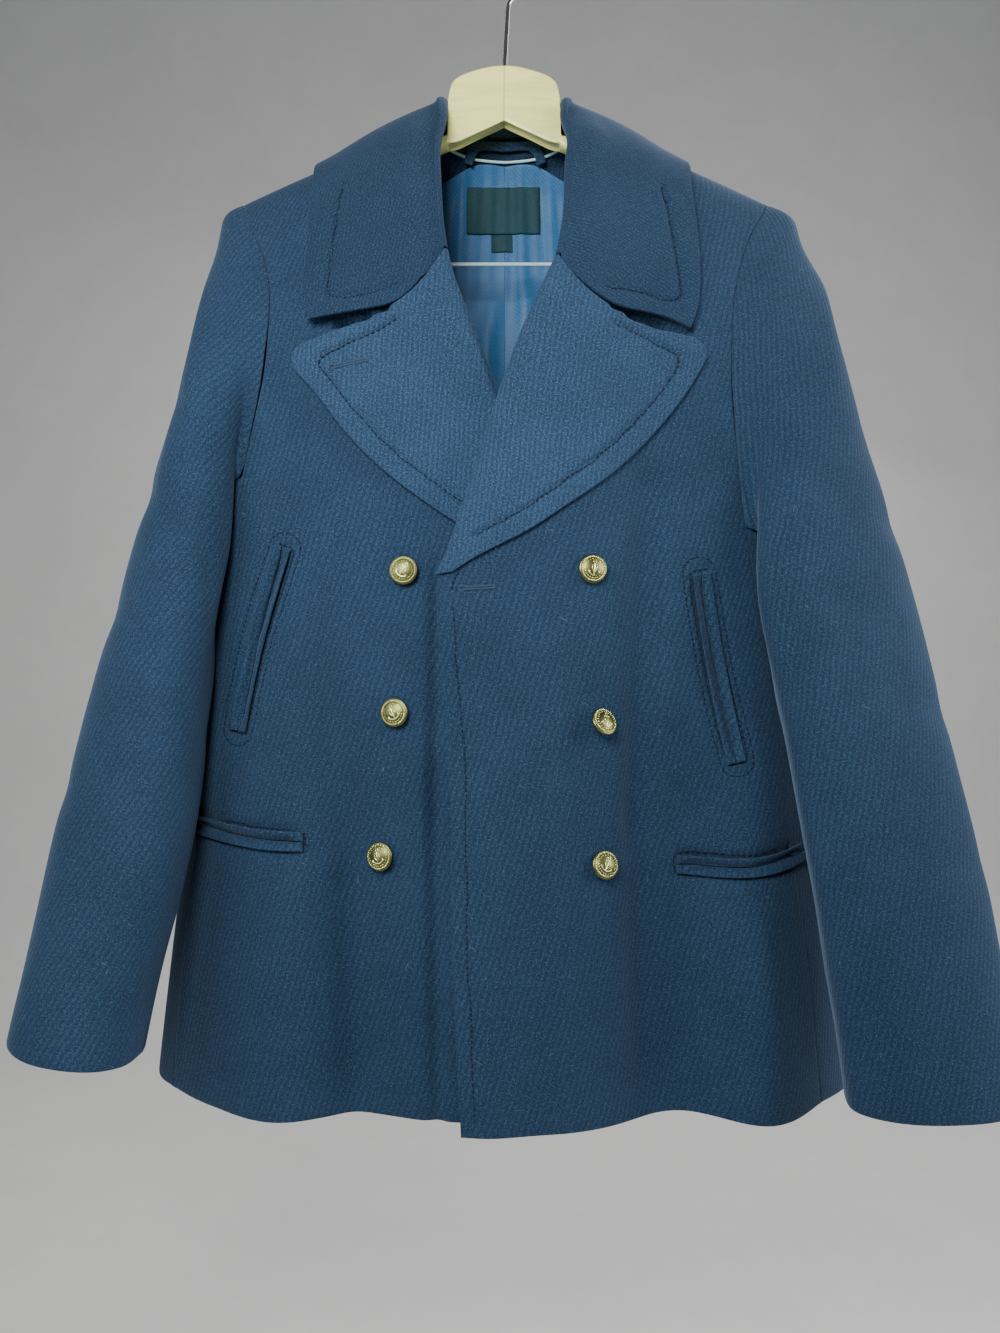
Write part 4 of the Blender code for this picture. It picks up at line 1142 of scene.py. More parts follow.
@dataclass
class ClothPanel:
    """A sewn panel: a soft wall of cloth on its solid's form.

    Fields are the solid's name, what the cloth rests on, its slack, finish, shown skin, fineness,
    how sharp its rims stay, the direction of its length, and its rows of stitches.
    """

    node: str
    rests_on: tuple[str, ...]
    slack: Slack
    finish: Finish = MELTON
    shown: Facing = Facing.OUTWARD
    level: int = 3
    rim: float = 0.5
    grain: Spot = (0.0, 0.0, 1.0)
    rows: list["StitchRow"] = field(default_factory=list)

    def build(self) -> "ClothPanel":
        """Make the fine cloth, with its valleys where stitches pull it in.

        Returns:
            The panel.
        """
        self.cage = build_cage(self.node, self.shown, Vector(self.grain), self.rim)
        self.piece = self.cage.piece
        round_off(self.piece, self.level)
        self.surface = self.tree()
        for row in self.rows:
            row.lay(self)
        self.press()
        self.surface = self.tree()
        return self

    def tree(self) -> BVHTree:
        """Make a search tree of the cloth as it is now."""
        data = self.piece.data
        return BVHTree.FromPolygons([v.co for v in data.vertices],
                                    [tuple(f.vertices) for f in data.polygons])

    def press(self) -> None:
        """Move the cloth by its slack, its creases and its rows of stitches."""
        data = self.piece.data
        spots = read_rows(data.vertices, "co", 3)
        out = read_rows(data.attributes["out"].data, "vector", 3)
        out /= np.maximum(np.linalg.norm(out, axis=1, keepdims=True), 1e-9)
        turn = read_rows(data.vertex_normals, "vector", 3)
        outer = np.nonzero(np.sum(turn * out, axis=1) > TURNED_AWAY)[0]
        move = self.slack.at(spots)
        for row in self.rows:
            tree = KDTree(len(row.path))
            for k, spot in enumerate(row.path):
                tree.insert(spot, k)
            tree.balance()
            for k in outer:
                gap = tree.find(spots[k])[2]
                if gap < VALLEY_REACH * row.valley_width * MM:
                    near = gap / (row.valley_width * MM)
                    move[k] -= row.valley * MM * math.exp(-near * near)
        write_rows(data.vertices, "co", spots + out * move[:, None])
        data.update()

    def on(self, spot: Vector) -> tuple[Vector, Vector]:
        """Find the nearest place on the cloth's shown side, and its normal."""
        return self.surface.find_nearest(spot)[:2]

    def seen_from_front(self, x: float, z: float) -> tuple[Vector, Vector]:
        """Find the cloth's front.

        Args:
            x: Place along x in millimetres.
            z: Height in millimetres.

        Returns:
            The place on the cloth, and its normal.
        """
        place, normal, _, _ = self.surface.ray_cast(Vector((x * MM, FRONT_OF_COAT, z * MM)),
                                                    Vector((0.0, 1.0, 0.0)))
        if place is None:
            return self.on(Vector((x * MM, NEAR_FRONT, z * MM)))
        return place, normal

    def finish_off(self) -> None:
        dress(self.piece, self.finish)
        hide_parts(self.node)
        width, length, area = CUTS[self.node]
        sewn = [row.sew(self) for row in self.rows]
        list(self.rests_on)


@dataclass
class StitchRow:
    """A row of topstitching, with sizes in millimetres.

    It passes the places along it, given as x and z. Without them it runs inside its panel's
    inner edge, below its top. The gap between stitches and the longest one are shares of the
    pitch, and a stitch is given by shares of its length, the thread's radius and its height.
    """

    name: str
    along: tuple[Pair, ...] = ()
    closed: bool = False
    inset: float = 10.6
    top: float = math.inf
    thread: float = 0.5
    valley: float = 0.8
    valley_width: float = 2.6
    pitch: float = 3.6
    gap: float = 0.2
    longest: float = 2.2
    stitch: tuple[Spot, ...] = ((0.0, 0.12, -0.35), (0.14, 0.75, -0.05), (0.5, 1.0, 0.3),
                                (0.86, 0.75, -0.05), (1.0, 0.12, -0.35))
    path: list[Vector] = field(default_factory=list)

    def lay(self, panel: ClothPanel) -> None:
        """Find the row's line on its panel.

        Args:
            panel: The row's panel.
        """
        if self.along:
            spots = [panel.seen_from_front(x, z)[0] for x, z in self.along]
            line = even_path(spots, self.pitch * MM, self.closed)
        else:
            line = self.inside(panel)
        self.path = [panel.on(spot)[0] for spot in line if spot.z / MM <= self.top]

    def inside(self, panel: ClothPanel) -> list[Vector]:
        """Offset the panel's inner edge into the panel.

        Args:
            panel: The row's panel.

        Returns:
            The row's line.
        """
        long = [line for line in panel.cage.edges if len(line) > 2]
        inner = min(long, key=lambda line: abs((sum(line, Vector()) / len(line)).x))
        line = even_path(inner, self.pitch * MM)
        votes = 0.0
        steps: list[tuple[Vector, Vector]] = []
        for k, spot in enumerate(line):
            run = (line[min(k + 1, len(line) - 1)] - line[max(k - 1, 0)]).normalized()
            aside = panel.on(spot)[1].cross(run)
            if steps and aside.dot(steps[-1][1]) < 0:
                aside = -aside
            aside = (aside - run * aside.dot(run)).normalized()
            for sign in (1.0, -1.0):
                votes += sign * panel.surface.find_nearest(spot + aside * sign * PROBE * MM)[3]
            steps.append((spot, aside))
        sign = -1.0 if votes > 0 else 1.0
        line = [spot + aside * sign * self.inset * MM for spot, aside in steps]
        margin = int(self.inset / self.pitch * 0.9)
        return line[margin:len(line) - margin]

    def radius(self, share: float) -> float:
        """Find the thread's radius at a share of a stitch from 0 to 1, in metres."""
        return self.thread * MM * self.stitch[round(share * (len(self.stitch) - 1))][1]

    def sew(self, panel: ClothPanel) -> bpy.types.Object:
        """Make the thread of each stitch and dress it.

        Args:
            panel: The row's panel.

        Returns:
            The thread.
        """
        parts = []
        places = [panel.on(spot) for spot in self.path]
        for (start, normal), (end, _) in zip(places, places[1:]):
            if (end - start).length > self.longest * self.pitch * MM:
                continue
            run = (end - start) * (1.0 - self.gap)
            first = start + (end - start) * (self.gap / 2)
            line = [first + run * share + normal * lift * self.thread * MM
                    for share, _, lift in self.stitch]
            parts.append(tube(line, self.radius, 5))
        thread = new_piece(self.name, joined(parts))
        dress(thread, NAVY_THREAD_GROOVE_SHADE)
        return thread


# Width, length and area of each flat cut, in metres and square metres
CUTS: dict[str, tuple[float, float, float]] = {
    "front_left": (0.3, 0.758, 0.16383),
    "side_panel_left": (0.15, 0.46, 0.05316),
    "front_right": (0.293, 0.762, 0.15448),
    "side_panel_right": (0.175, 0.431, 0.06396),
    "back": (0.418, 0.741, 0.28255),
    "sleeve_upper_left": (0.24, 0.629, 0.12885),
    "sleeve_under_left": (0.114, 0.49, 0.03627),
    "sleeve_upper_right": (0.277, 0.671, 0.13866),
    "sleeve_under_right": (0.143, 0.54, 0.05301),
    "collar": (0.257, 0.569, 0.07079),
    "collar_stand": (0.038, 0.217, 0.00381),
    "lapel_left": (0.153, 0.231, 0.02271),
    "lapel_right": (0.153, 0.233, 0.02329),
    "welt_pocket_left_jet_a": (0.0101, 0.136, 0.0009),
    "welt_pocket_left_jet_b": (0.0101, 0.137, 0.00093),
    "welt_pocket_right_jet_a": (0.0101, 0.136, 0.00084),
    "welt_pocket_right_jet_b": (0.0101, 0.137, 0.00083),
    "low_pocket_left_jet_a": (0.0101, 0.119, 0.00071),
    "low_pocket_left_jet_b": (0.0101, 0.12, 0.00072),
    "low_pocket_right_jet_a": (0.012, 0.108, 0.00065),
    "low_pocket_right_jet_b": (0.012, 0.111, 0.00067),
    "lining_back_left": (0.192, 0.694, 0.11336),
    "lining_back_right": (0.192, 0.694, 0.11335),
    "hang_loop": (0.023, 0.067, 0.00055),
    "main_label": (0.036, 0.059, 0.00212),
    "size_label": (0.013, 0.017, 0.00022),
}


# ---------------------------------------------------------------- the coat


NOTCHES = (Crease((-137, -307), (-112, -306), 8.0, 3.0),
           Crease((-121, -308), (-95, -304), 13.0, 3.4),
           Crease((-101, -305), (-81, -300), 8.0, 1.8), Crease((73, -301), (93, -306), 8.0, 1.8),
           Crease((85, -305), (113, -311), 13.0, 3.1), Crease((103, -310), (130, -315), 9.0, 2.4))
SLITS: dict[str, tuple[Pair, Pair, Pair]] = {
    "welt_pocket_left": ((-158, -470), (-179, -532), (-192, -590)),
    "welt_pocket_right": ((137, -488), (148.3, -551), (162.8, -611)),
    "low_pocket_left": ((-234, -663.8), (-190, -668.8), (-146, -670.8)),
    "low_pocket_right": ((127, -690.1), (170, -689.9), (214, -682))}
BODY_SLACK = Slack(0.75, (0.07, 0.07, 0.16), 3, (
    Crease((-190, -700), (-182, -850), 2.0, 16),
    Crease((165, -330), (140, -430), 1.6, 13),
    Crease((-165, -320), (-150, -440), 1.6, 13),
    Crease((178, -690), (208, -800), 1.6, 14)))
FRONT_SLACK = Slack(0.0, under=BODY_SLACK, creases=(
    *NOTCHES,
    Crease((-130, -540), (-117, -663), 5.0, 12),
    Crease((100, -420), (94, -663), 9.0, 12),
    Crease((94, -640), (99, -850), 6.5, 14),
    Crease((30, -540), (38, -850), -6.0, 16),
    Crease((-108, -640), (-106, -860), 8.0, 13),
    Crease((-142, -660), (-146, -860), -2.0, 16),
    Crease((110, -640), (122, -800), 1.4, 22)))
SLEEVE_SLACK = Slack(1.0, (0.06, 0.06, 0.12), 8, (
    Crease((-262, -330), (-222, -372), 1.6, 12),
    Crease((-268, -420), (-222, -455), 2.2, 13),
    Crease((-300, -520), (-246, -492), 1.8, 12),
    Crease((-285, -560), (-236, -602), 2.2, 14),
    Crease((-322, -640), (-262, -622), 1.4, 12),
    Crease((252, -330), (205, -368), 1.6, 12),
    Crease((300, -450), (215, -420), 2.0, 14),
    Crease((276, -520), (214, -500), 1.8, 12),
    Crease((318, -585), (250, -560), 2.2, 14),
    Crease((330, -690), (262, -668), 1.6, 13)), joins=BODY_SLACK)


def slit_slack(names: Iterable[str], depth: float, width: float,
               creases: Iterable[Crease] = ()) -> Slack:
    """Make a front's slack with a valley along pocket slits.

    Args:
        names: Names of the pockets.
        depth: Depth of the valley in millimetres.
        width: Its width in millimetres.
        creases: Other creases.

    Returns:
        The slack.
    """
    pressed = list(creases)
    for name in names:
        first, middle, last = SLITS[name]
        pressed += [Crease(first, middle, depth, width),
                    Crease(middle, last, depth * 1.15, width)]
    return Slack(0.0, creases=tuple(pressed), under=FRONT_SLACK)


@dataclass
class CoatBody:
    """Fronts, side panels and back."""

    edges: dict[str, tuple[Crease, ...]] = field(default_factory=lambda: {
        "left": (Crease((-47, -480), (-49, -660), 5.0, 6),
                 Crease((-49, -620), (-47, -875), 5.0, 6)),
        "right": (Crease((-38, -490), (-41, -660), -2.4, 4),
                  Crease((-41, -620), (-39, -875), -2.4, 4))})
    slit_depth: float = 8.5
    slit_width: float = 4.8
    front_edge_top: float = -482.0

    def panels(self) -> Iterable[ClothPanel]:
        """List the panels in the order of sewing, each front with its rows of stitches.

        Returns:
            The panels.
        """
        for side in SIDES:
            pockets = [name for name in SLITS if name.endswith(side)]
            rows = [row for name in pockets for row in Pockets().rows(name)]
            if side == "right":
                rows.append(StitchRow("front_edge_stitches", top=self.front_edge_top))
            slack = slit_slack(pockets, self.slit_depth, self.slit_width, self.edges[side])
            yield ClothPanel("front_" + side, ("hanger_arm_" + side,), slack, rows=rows)
            yield ClothPanel("side_panel_" + side, ("front_" + side,), BODY_SLACK)
        yield ClothPanel("back", ("hanger_arm_left", "hanger_arm_right"), BODY_SLACK)


class Sleeves:
    """Two-piece sleeves."""

    def panels(self) -> Iterable[ClothPanel]:
        """List the four sleeve pieces.

        Returns:
            The panels.
        """
        for side in SIDES:
            for part in ("sleeve_upper_", "sleeve_under_"):
                yield ClothPanel(part + side, ("front_" + side, "back"), SLEEVE_SLACK)


@dataclass
class Collar:
    """Top collar, stand and lapel turnings, with the lines of their topstitching."""

    lines: dict[str, tuple[Pair, ...]] = field(default_factory=lambda: {
        "collar_left": ((-117, -203), (-120, -226), (-122, -251), (-124, -272), (-125, -284),
                        (-122, -289), (-110, -291), (-96, -289), (-84, -286), (-75, -282)),
        "collar_right": ((113, -203), (116, -226), (119, -251), (122, -275), (122.5, -287),
                         (119, -293), (108, -293), (94, -289), (81, -288), (73, -288.5),
                         (68, -286)),
        "lapel_left": ((-23, -441), (-50, -422), (-77, -401), (-102, -375), (-121, -351),
                       (-130.5, -339), (-129, -333.5), (-119, -329), (-102, -321.5),
                       (-85, -314.5), (-76, -308)),
        "lapel_right": ((-20, -459.5), (7, -446), (36.5, -426), (63.5, -406), (88.5, -382),
                        (109.5, -357), (119.5, -341), (121, -334), (115, -329.5), (94, -321),
                        (73, -312.5))})
    creases: dict[str, tuple[Crease, ...]] = field(default_factory=lambda: {
        "collar": (Crease((-138, -306), (-84, -297), -1.3, 8),
                   Crease((72, -301), (130, -313), -1.3, 8),
                   Crease((-135, -300), (-130, -215), -1.0, 6),
                   Crease((130, -305), (124, -215), -1.0, 6)),
        "lapel_left": (Crease((-140, -328), (-78, -305), -1.2, 7),
                       Crease((-138, -338), (-24, -452), -0.8, 6), *NOTCHES),
        "lapel_right": (Crease((72, -308), (130, -330), -1.2, 7),
                        Crease((128, -340), (-18, -470), -0.8, 6), *NOTCHES)})
    swell: Spot = (0.055, 0.055, 0.055)

    def panel(self, name: str, slack: Slack, rests_on: tuple[str, ...], lines: Iterable[str],
              **more: object) -> ClothPanel:
        """Make the collar or a lapel.

        Args:
            name: Name of the piece.
            slack: Its slack.
            rests_on: What it rests on.
            lines: Names of its stitched lines.
            more: Other fields of the panel.

        Returns:
            The panel.
        """
        rows = [StitchRow(line + "_stitches", self.lines[line], thread=0.56, valley=2.3,
                          valley_width=2.1) for line in lines]
        return ClothPanel(name, rests_on, slack, rows=rows, **more)

    def panels(self) -> Iterable[ClothPanel]:
        """List the collar, its stand and the lapels.

        Returns:
            The panels.
        """
        slack = Slack(0.4, self.swell, 5, self.creases["collar"])
        yield self.panel("collar", slack, ("front_left", "front_right", "back"),
                         ("collar_left", "collar_right"), finish=COLLAR_MELTON_PAINTED_SHADE)
        yield ClothPanel("collar_stand", ("back",), Slack(0.15), COLLAR_MELTON_PAINTED_SHADE, level=2)
        for side in SIDES:
            name = "lapel_" + side
            slack = Slack(0.35, self.swell, 6, self.creases[name])
            yield self.panel(name, slack, ("front_" + side,), (name,), finish=LAPEL_MELTON_PAINTED_LIGHT,
                             shown=Facing.FORWARD)


@dataclass
class Pockets:
    """Hand-warmer and lower pockets: jets and rows of stitches round them.

    Each gap names a row, its distance from the slit and how far it runs past the slit's ends.
    """

    gaps: tuple[tuple[str, float, float], ...] = (("inner", 7.5, 6.0), ("outer", 12.2, 14.0))
    round_end: float = 0.55
    slit_depth: float = 4.6
    slit_width: float = 2.9

    def outline(self, name: str, gap: float, arch: float) -> tuple[Pair, ...]:
        """Run round a slit at a distance, with a rounded end.

        Args:
            name: Name of the pocket.
            gap: Distance from the slit in millimetres.
            arch: How far the line runs past the slit's ends.

        Returns:
            Places as x and z.
        """
        line = first, middle, last = [Vector(spot) for spot in SLITS[name]]
        runs = [(middle - first).normalized(), (last - first).normalized(),
                (last - middle).normalized()]
        sides = [Vector((-run.y, run.x)) for run in runs]
        near = [spot + side * gap for spot, side in zip(line, sides)]
        far = [spot - side * gap for spot, side in zip(line, sides)]
        end, start = last + runs[2] * arch, first - runs[0] * arch
        ring = [*near, end + sides[2] * gap * self.round_end, end - sides[2] * gap * self.round_end,
                *reversed(far), start - sides[0] * gap * self.round_end,
                start + sides[0] * gap * self.round_end]
        return tuple((spot.x, spot.y) for spot in ring)

    def rows(self, name: str) -> list[StitchRow]:
        """List the rows of stitches round a pocket; a lower one has no outer row.

        Args:
            name: Name of the pocket.

        Returns:
            The rows.
        """
        return [StitchRow(f"{name}_{word}_stitches", self.outline(name, gap, arch), closed=True,
                          valley=1.3, valley_width=1.9)
                for word, gap, arch in self.gaps
                if word == "inner" or name.startswith("welt")]

    def panels(self) -> Iterable[ClothPanel]:
        """List the jets.

        Returns:
            The panels.
        """
        for name in SLITS:
            slack = slit_slack([name], self.slit_depth, self.slit_width)
            for jet in ("_jet_a", "_jet_b"):
                yield ClothPanel(name + jet, ("front_" + name.rsplit("_", 1)[1],), slack,
                                 shown=Facing.FORWARD, rim=0.7)


@dataclass
class Inside:
    """Lining halves, hang loop and blank labels."""

    gathers: int = 9
    folds: tuple[Crease, ...] = (
        Crease((-8, -250), (-20, -330), -2.2, 6),
        Crease((22, -240), (10, -320), -2.4, 7),
        Crease((34, -280), (6, -380), -2.2, 6),
        *(Crease((x, -150), (x * 1.1, -270), -1.6, 5) for x in (-33, 14, 37)),
        Crease((-20, -270), (12, -420), -2.0, 7))

    def slack(self) -> Slack:
        """Make the lining's slack, gathered below the neck."""
        gathered = [Crease((x, -148), (x * 1.25, -236 - 14 * (k % 3)), -1.2, 3.6)
                    for k, x in enumerate(np.linspace(-44, 44, self.gathers))]
        return Slack(0.8, (0.03, 0.05, 0.09), 21, (*gathered, *self.folds), lift=0.8)

    def panels(self) -> Iterable[ClothPanel]:
        """List the pieces.

        Returns:
            The panels.
        """
        slack = self.slack()
        linings = tuple("lining_back_" + side for side in SIDES)
        for name in linings:
            yield ClothPanel(name, ("back",), slack, LINING, Facing.FORWARD)
        yield ClothPanel("hang_loop", ("back",), Slack(0.1), shown=Facing.FORWARD,
                         grain=(1.0, 0.0, 0.0))
        for name in ("main_label", "size_label"):
            yield ClothPanel(name, linings, slack, LABEL, Facing.FORWARD, rim=1.0)


@dataclass
class Buttonhole:
    """A worked keyhole: a ring of close stitches round a cut, with sizes in millimetres."""

    name: str
    eye: Pair
    end: Pair
    eye_radius: float = 2.1
    neck: float = 3.2
    half_width: float = 0.95
    pitch: float = 0.75
    core: float = 0.44
    bar: float = 0.24
    arc: tuple[Pair, ...] = ((-0.55, 0.45), (0.0, 0.85), (0.7, 0.5), (1.2, -0.1))

    def build(self, panel: ClothPanel) -> None:
        """Work the hole.

        Args:
            panel: The panel that it is worked on.
        """
        eye, end = Vector(self.eye), Vector(self.end)
        run = (end - eye).normalized()
        side = Vector((-run.y, run.x))
        ring = []
        for k in range(9):
            turn = math.pi * (0.35 + 1.3 * k / 8)
            ring.append(eye + run * math.cos(turn) * self.eye_radius
                        + side * math.sin(turn) * self.eye_radius)
        ring = [eye + run * self.neck + side * self.half_width, *ring,
                eye + run * self.neck - side * self.half_width,
                end - side * self.half_width, end + run * 0.8, end + side * self.half_width]
        spots = [panel.seen_from_front(spot.x, spot.y)[0] for spot in ring]
        line = even_path(spots, self.pitch * MM, closed=True)
        middle = [spot + panel.on(spot)[1] * 0.25 * MM for spot in line]
        parts = [tube(middle, lambda share: self.core * MM, 6, closed=True)]
        for k, spot in enumerate(line):
            normal = panel.on(spot)[1]
            ahead = (line[(k + 1) % len(line)] - spot).normalized()
            aside = normal.cross(ahead)
            bar = [spot + aside * reach * MM + normal * lift * MM for reach, lift in self.arc]
            parts.append(tube(bar, lambda share: self.bar * MM, 5))
        dress(new_piece(self.name, joined(parts)), HOLE_THREAD)


@dataclass
class Buttons:
    """Six domed shank buttons with a rope rim and an anchor, with sizes in millimetres."""

    facets: int = 48
    leaves: int = 22
    rope_turns: int = 40
    rope_twist: float = 0.16
    profile: tuple[Pair, ...] = (
        (0.0, 0.0), (1.5, 0.0), (1.7, 2.0), (6.5, 2.1), (9.2, 2.3), (9.9, 2.8), (10.0, 3.3),
        (9.8, 4.0), (9.3, 4.35), (8.9, 4.3), (8.5, 4.5), (7.4, 5.2), (5.6, 6.0), (3.2, 6.6),
        (1.2, 6.85), (0.0, 6.9))

    def dome(self, reach: float) -> float:
        """Height of the face at a distance from the middle."""
        return 6.9 - 2.5 * (reach / 8.6) ** 2

    def face_line(self, line: Sequence[Pair], wide: float) -> Shape:
        """Make a raised line on the dome from its places and its radius."""
        path = [Vector((x, y, self.dome(math.hypot(x, y)))) for x, y in line]
        return tube(even_path(path, 0.5), lambda share: wide, 6)

    def anchor(self) -> list[Shape]:
        """Make the anchor and its rope.

        Returns:
            Its shapes.
        """
        arms = [(4.3 * math.sin(turn), -0.7 - 4.0 * math.cos(turn))
                for turn in np.linspace(-1.25, 1.25, 9)]
        parts = [self.face_line([(0, -4.6), (0, -1.5), (0, 1.5), (0, 3.6)], 0.5),
                 self.face_line([(-2.4, 2.2), (0, 2.35), (2.4, 2.2)], 0.42),
                 self.face_line(arms, 0.46)]
        ring = [Vector((0.95 * math.cos(t), 4.5 + 0.95 * math.sin(t), self.dome(4.6)))
                for t in np.linspace(0, FULL_TURN, 13)[:-1]]
        parts.append(tube(ring, lambda share: 0.3, 6, closed=True))
        for sign, tip in ((-1, arms[0]), (1, arms[-1])):
            parts.append(self.face_line([(tip[0] - sign * 1.1, tip[1] - 0.1), tip,
                                         (tip[0] + sign * 0.2, tip[1] - 1.2)], 0.34))
            rope = [(sign * (0.4 + 1.7 * math.sin(t * 3.1)) * (1 - 0.25 * t), 3.2 - 6.0 * t)
                    for t in np.linspace(0.05, 0.95, 9)]
            parts.append(self.face_line(rope[2:], 0.24))
        return parts

    def border(self) -> list[Shape]:
        """Make the leaves and the rope rim.

        Returns:
            Their shapes.
        """
        parts = []
        for k in range(self.leaves):
            turn = FULL_TURN * k / self.leaves
            leaf = [(6.1 * math.cos(turn), 6.1 * math.sin(turn)),
                    (6.9 * math.cos(turn + 0.13), 6.9 * math.sin(turn + 0.13))]
            parts.append(self.face_line(leaf, 0.3))
        half = self.rope_twist / 2
        for k in range(self.rope_turns):
            turn = FULL_TURN * k / self.rope_turns
            line = [Vector((reach * math.cos(turn + lean), reach * math.sin(turn + lean), high))
                    for reach, lean, high in ((7.75, -half, 5.1), (8.25, 0.0, 5.1),
                                              (8.8, half, 4.55))]
            parts.append(tube(line, lambda share: 0.36, 5))
        return parts

    def lathe(self) -> Shape:
        """Turn the button's profile.

        Returns:
            Points and faces.
        """
        points = [Vector((0, 0, self.profile[0][1]))]
        for reach, high in self.profile[1:-1]:
            points += [Vector((reach * math.cos(t), reach * math.sin(t), high))
                       for t in np.linspace(0, FULL_TURN, self.facets + 1)[:-1]]
        points.append(Vector((0, 0, self.profile[-1][1])))
        faces: list[tuple[int, ...]] = []
        for k in range(self.facets):
            after = (k + 1) % self.facets
            faces.append((0, 1 + after, 1 + k))
            for ring in range(len(self.profile) - 3):
                low = 1 + ring * self.facets
                faces.append((low + k, low + after, low + self.facets + after,
                              low + self.facets + k))
            low = 1 + (len(self.profile) - 3) * self.facets
            faces.append((low + k, low + after, len(points) - 1))
        return points, faces

    def build(self) -> None:
        """Seat each button where its solid is, the anchor upright but for a little turn."""
        shapes = {"brass": (self.lathe(), TARNISH),
                  "emboss": (joined(self.anchor() + self.border()), BRASS)}
        names = [f"button_{row}_{side}" for row in (1, 2, 3) for side in SIDES]
        for number, name in enumerate(names):
            spots = read_rows(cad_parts[name].data.vertices, "co", 3)
            middle = spots.mean(axis=0)
            axis = Vector(np.linalg.svd(spots - middle, full_matrices=False)[2][2])
            axis = axis if axis.y < 0 else -axis
            foot = Vector(middle) + axis * float(((spots - middle) @ np.array(axis)).min())
            up = (Vector((0, 0, 1)) - axis * axis.z).normalized()
            turned = Matrix.Rotation((number * 1.7 % 1.2) - 0.6, 3, axis) @ up
            spin = Matrix((turned.cross(axis), turned, axis)).transposed()
            for word, ((points, faces), finish) in shapes.items():
                placed = [foot + spin @ (spot * MM) for spot in points]
                button = new_piece(f"{name}_{word}", (placed, faces))
                dress(button, finish)
                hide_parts(name)


@dataclass
class Hard:
    """A carried-over solid made round: wood, wire or cord."""

    node: str
    finish: Finish
    level: int = 2

    def build(self) -> None:
        """Copy the solid, round it and dress it."""
        piece = build_cage(self.node, Facing.FORWARD, Vector((0, 0, 1)), 1.0).piece
        piece.name = self.node + "_round"
        mesh = bmesh.new()
        mesh.from_mesh(piece.data)
        hold = mesh.edges.layers.float["crease_edge"]
        for edge in mesh.edges:
            if edge.calc_face_angle(0.0) > FOLD_ANGLE:
                edge[hold] = 1.0
        mesh.to_mesh(piece.data)
        mesh.free()
        round_off(piece, self.level)
        dress(piece, self.finish)
        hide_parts(self.node)


@dataclass
class Hanger:
    """Two mitred wooden arms, a wire hook and a trouser bar, and the neck's piping on them."""

    pieces: tuple[Hard, ...] = (
        Hard("hanger_arm_left", MAPLE, 3), Hard("hanger_arm_right", MAPLE, 3),
        Hard("hanger_hook", CHROME), Hard("trouser_bar", BAR_VARNISH),
        Hard("neck_piping", PIPING))

    def build(self) -> None:
        """Build the pieces in order."""
        for piece in self.pieces:
            piece.build()


@dataclass(frozen=True)
class Lamp:
    """A soft square lamp that faces the coat's middle, with its side in metres and its watts."""

    name: str
    place: Spot
    size: float
    power: float
    tint: Spot = (0.96, 0.98, 1.0)
    faces: Spot = (0.0, 0.0, -0.45)

    def build(self) -> None:
        """Hang the lamp."""
        light = bpy.data.lights.new(self.name, "AREA")
        light.energy = self.power
        light.size = self.size
        light.color = self.tint
        lamp = bpy.data.objects.new(self.name, light)
        lamp.location = self.place
        away = Vector(self.place) - Vector(self.faces)
        lamp.rotation_euler = away.to_track_quat("Z", "Y").to_euler()
        lamp.visible_camera = False
        bpy.context.scene.collection.objects.link(lamp)


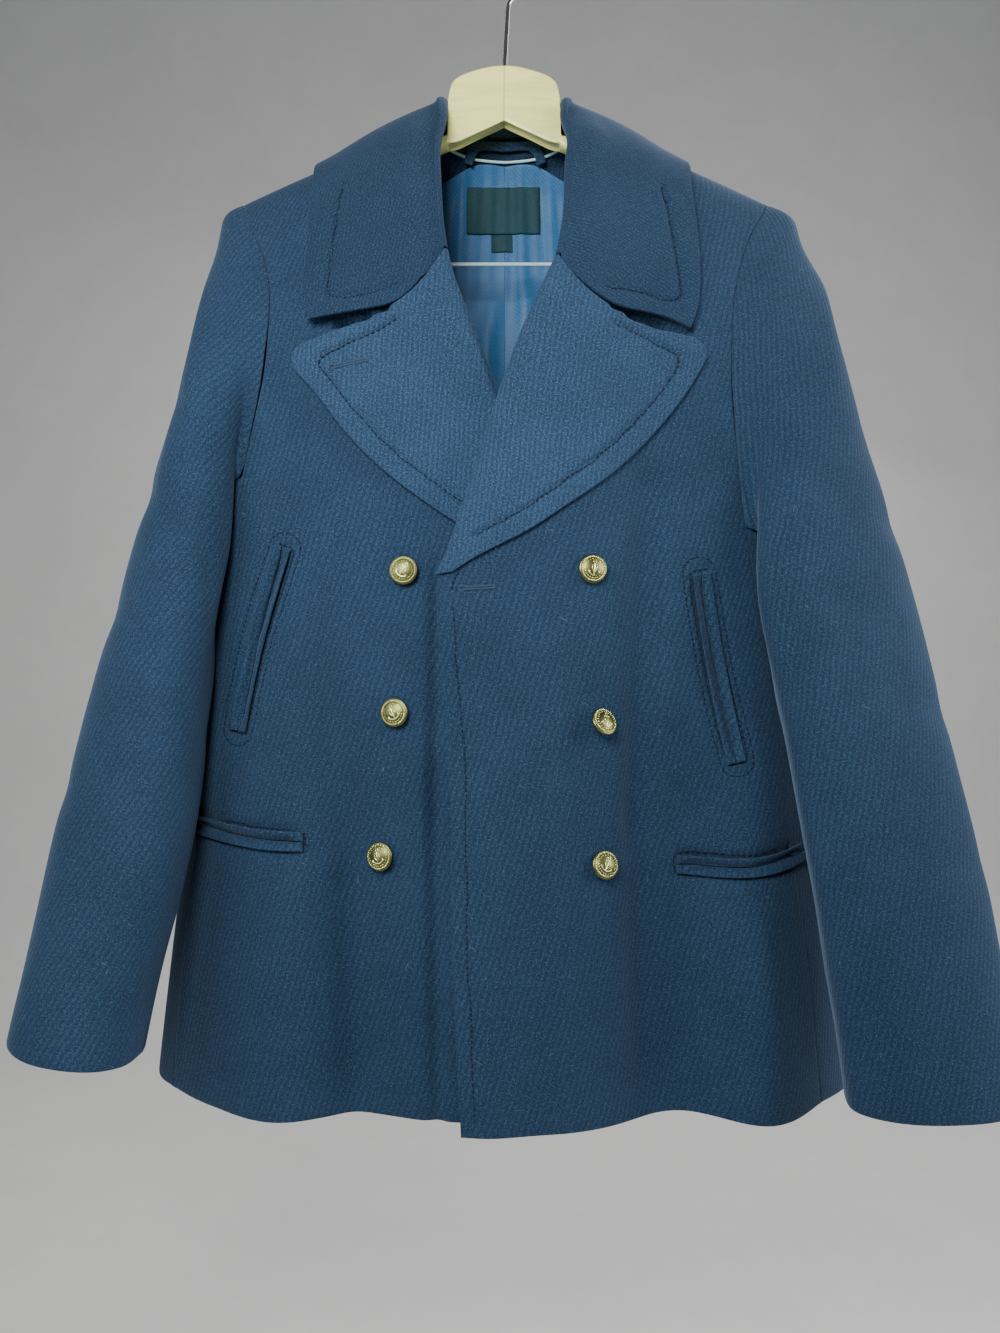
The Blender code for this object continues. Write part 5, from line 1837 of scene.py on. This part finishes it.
@dataclass
class Studio:
    """Pale floor and wall, soft lights and the camera, with sizes in metres."""

    floor_z: float = -1.32
    floor_start: float = -3.2
    wall_y: float = 1.75
    wall_top: float = 2.4
    half_width: float = 3.0
    bend: float = 0.5
    bend_steps: int = 12
    room_colour: Spot = (0.86, 0.91, 1.0)
    room_light: float = 0.11
    camera_at: Spot = (-0.0039, -0.80, -0.549)
    lens: float = 28.0
    lamps: tuple[Lamp, ...] = (
        Lamp("key", (-0.2, -0.82, -0.15), 0.34, 8.9, (1.0, 0.99, 0.97)),
        Lamp("left", (-1.15, -1.0, -0.15), 0.9, 9.3),
        Lamp("right", (1.5, -0.42, -0.05), 0.9, 22.0),
        Lamp("back", (0.4, 1.3, 0.7), 1.2, 22.0, (1.0, 1.0, 1.0)))

    def sweep(self) -> None:
        """Build the floor, curving up into the wall."""
        profile = [(self.floor_start, self.floor_z)]
        for k in range(self.bend_steps + 1):
            turn = math.pi / 2 * k / self.bend_steps
            profile.append((self.wall_y - self.bend + self.bend * math.sin(turn),
                            self.floor_z + self.bend - self.bend * math.cos(turn)))
        profile.append((self.wall_y, self.wall_top))
        points = [Vector((x, y, z)) for y, z in profile
                  for x in (-self.half_width, self.half_width)]
        faces = [(2 * k, 2 * k + 1, 2 * k + 3, 2 * k + 2) for k in range(len(profile) - 1)]
        floor = new_piece("studio_sweep", (points, faces))
        floor.data.materials.append(Wardrobe.of(PAPER))

    def build(self) -> None:
        """Set the stage."""
        self.sweep()
        for lamp in self.lamps:
            lamp.build()
        world = bpy.data.worlds.new("soft_room")
        world.use_nodes = True
        sky = world.node_tree.nodes["Background"]
        sky.inputs["Color"].default_value = (*self.room_colour, 1.0)
        sky.inputs["Strength"].default_value = self.room_light
        bpy.context.scene.world = world
        camera = bpy.data.objects.new("camera", bpy.data.cameras.new("camera"))
        camera.data.lens = self.lens
        camera.data.sensor_width = 36.0
        camera.location = self.camera_at
        camera.rotation_euler = (math.radians(90), 0.0, 0.0)
        bpy.context.scene.collection.objects.link(camera)
        bpy.context.scene.camera = camera


def main() -> None:
    """Build the coat, its hanger and the studio, in order."""
    logging.basicConfig(level=logging.INFO, format="%(name)s %(message)s", stream=sys.stdout)
    panels: dict[str, ClothPanel] = {}
    for part in (CoatBody(), Sleeves(), Collar(), Pockets(), Inside()):
        for panel in part.panels():
            panels[panel.node] = panel.build()
    for panel in panels.values():
        panel.finish_off()
    Buttonhole("front_buttonhole", (-30, -496), (-9, -495)).build(panels["front_right"])
    Buttonhole("lapel_buttonhole", (-121, -340.5), (-97, -336.5)).build(panels["lapel_left"])
    Buttons().build()
    Hanger().build()
    Studio().build()


if __name__ == "__main__":
    main()
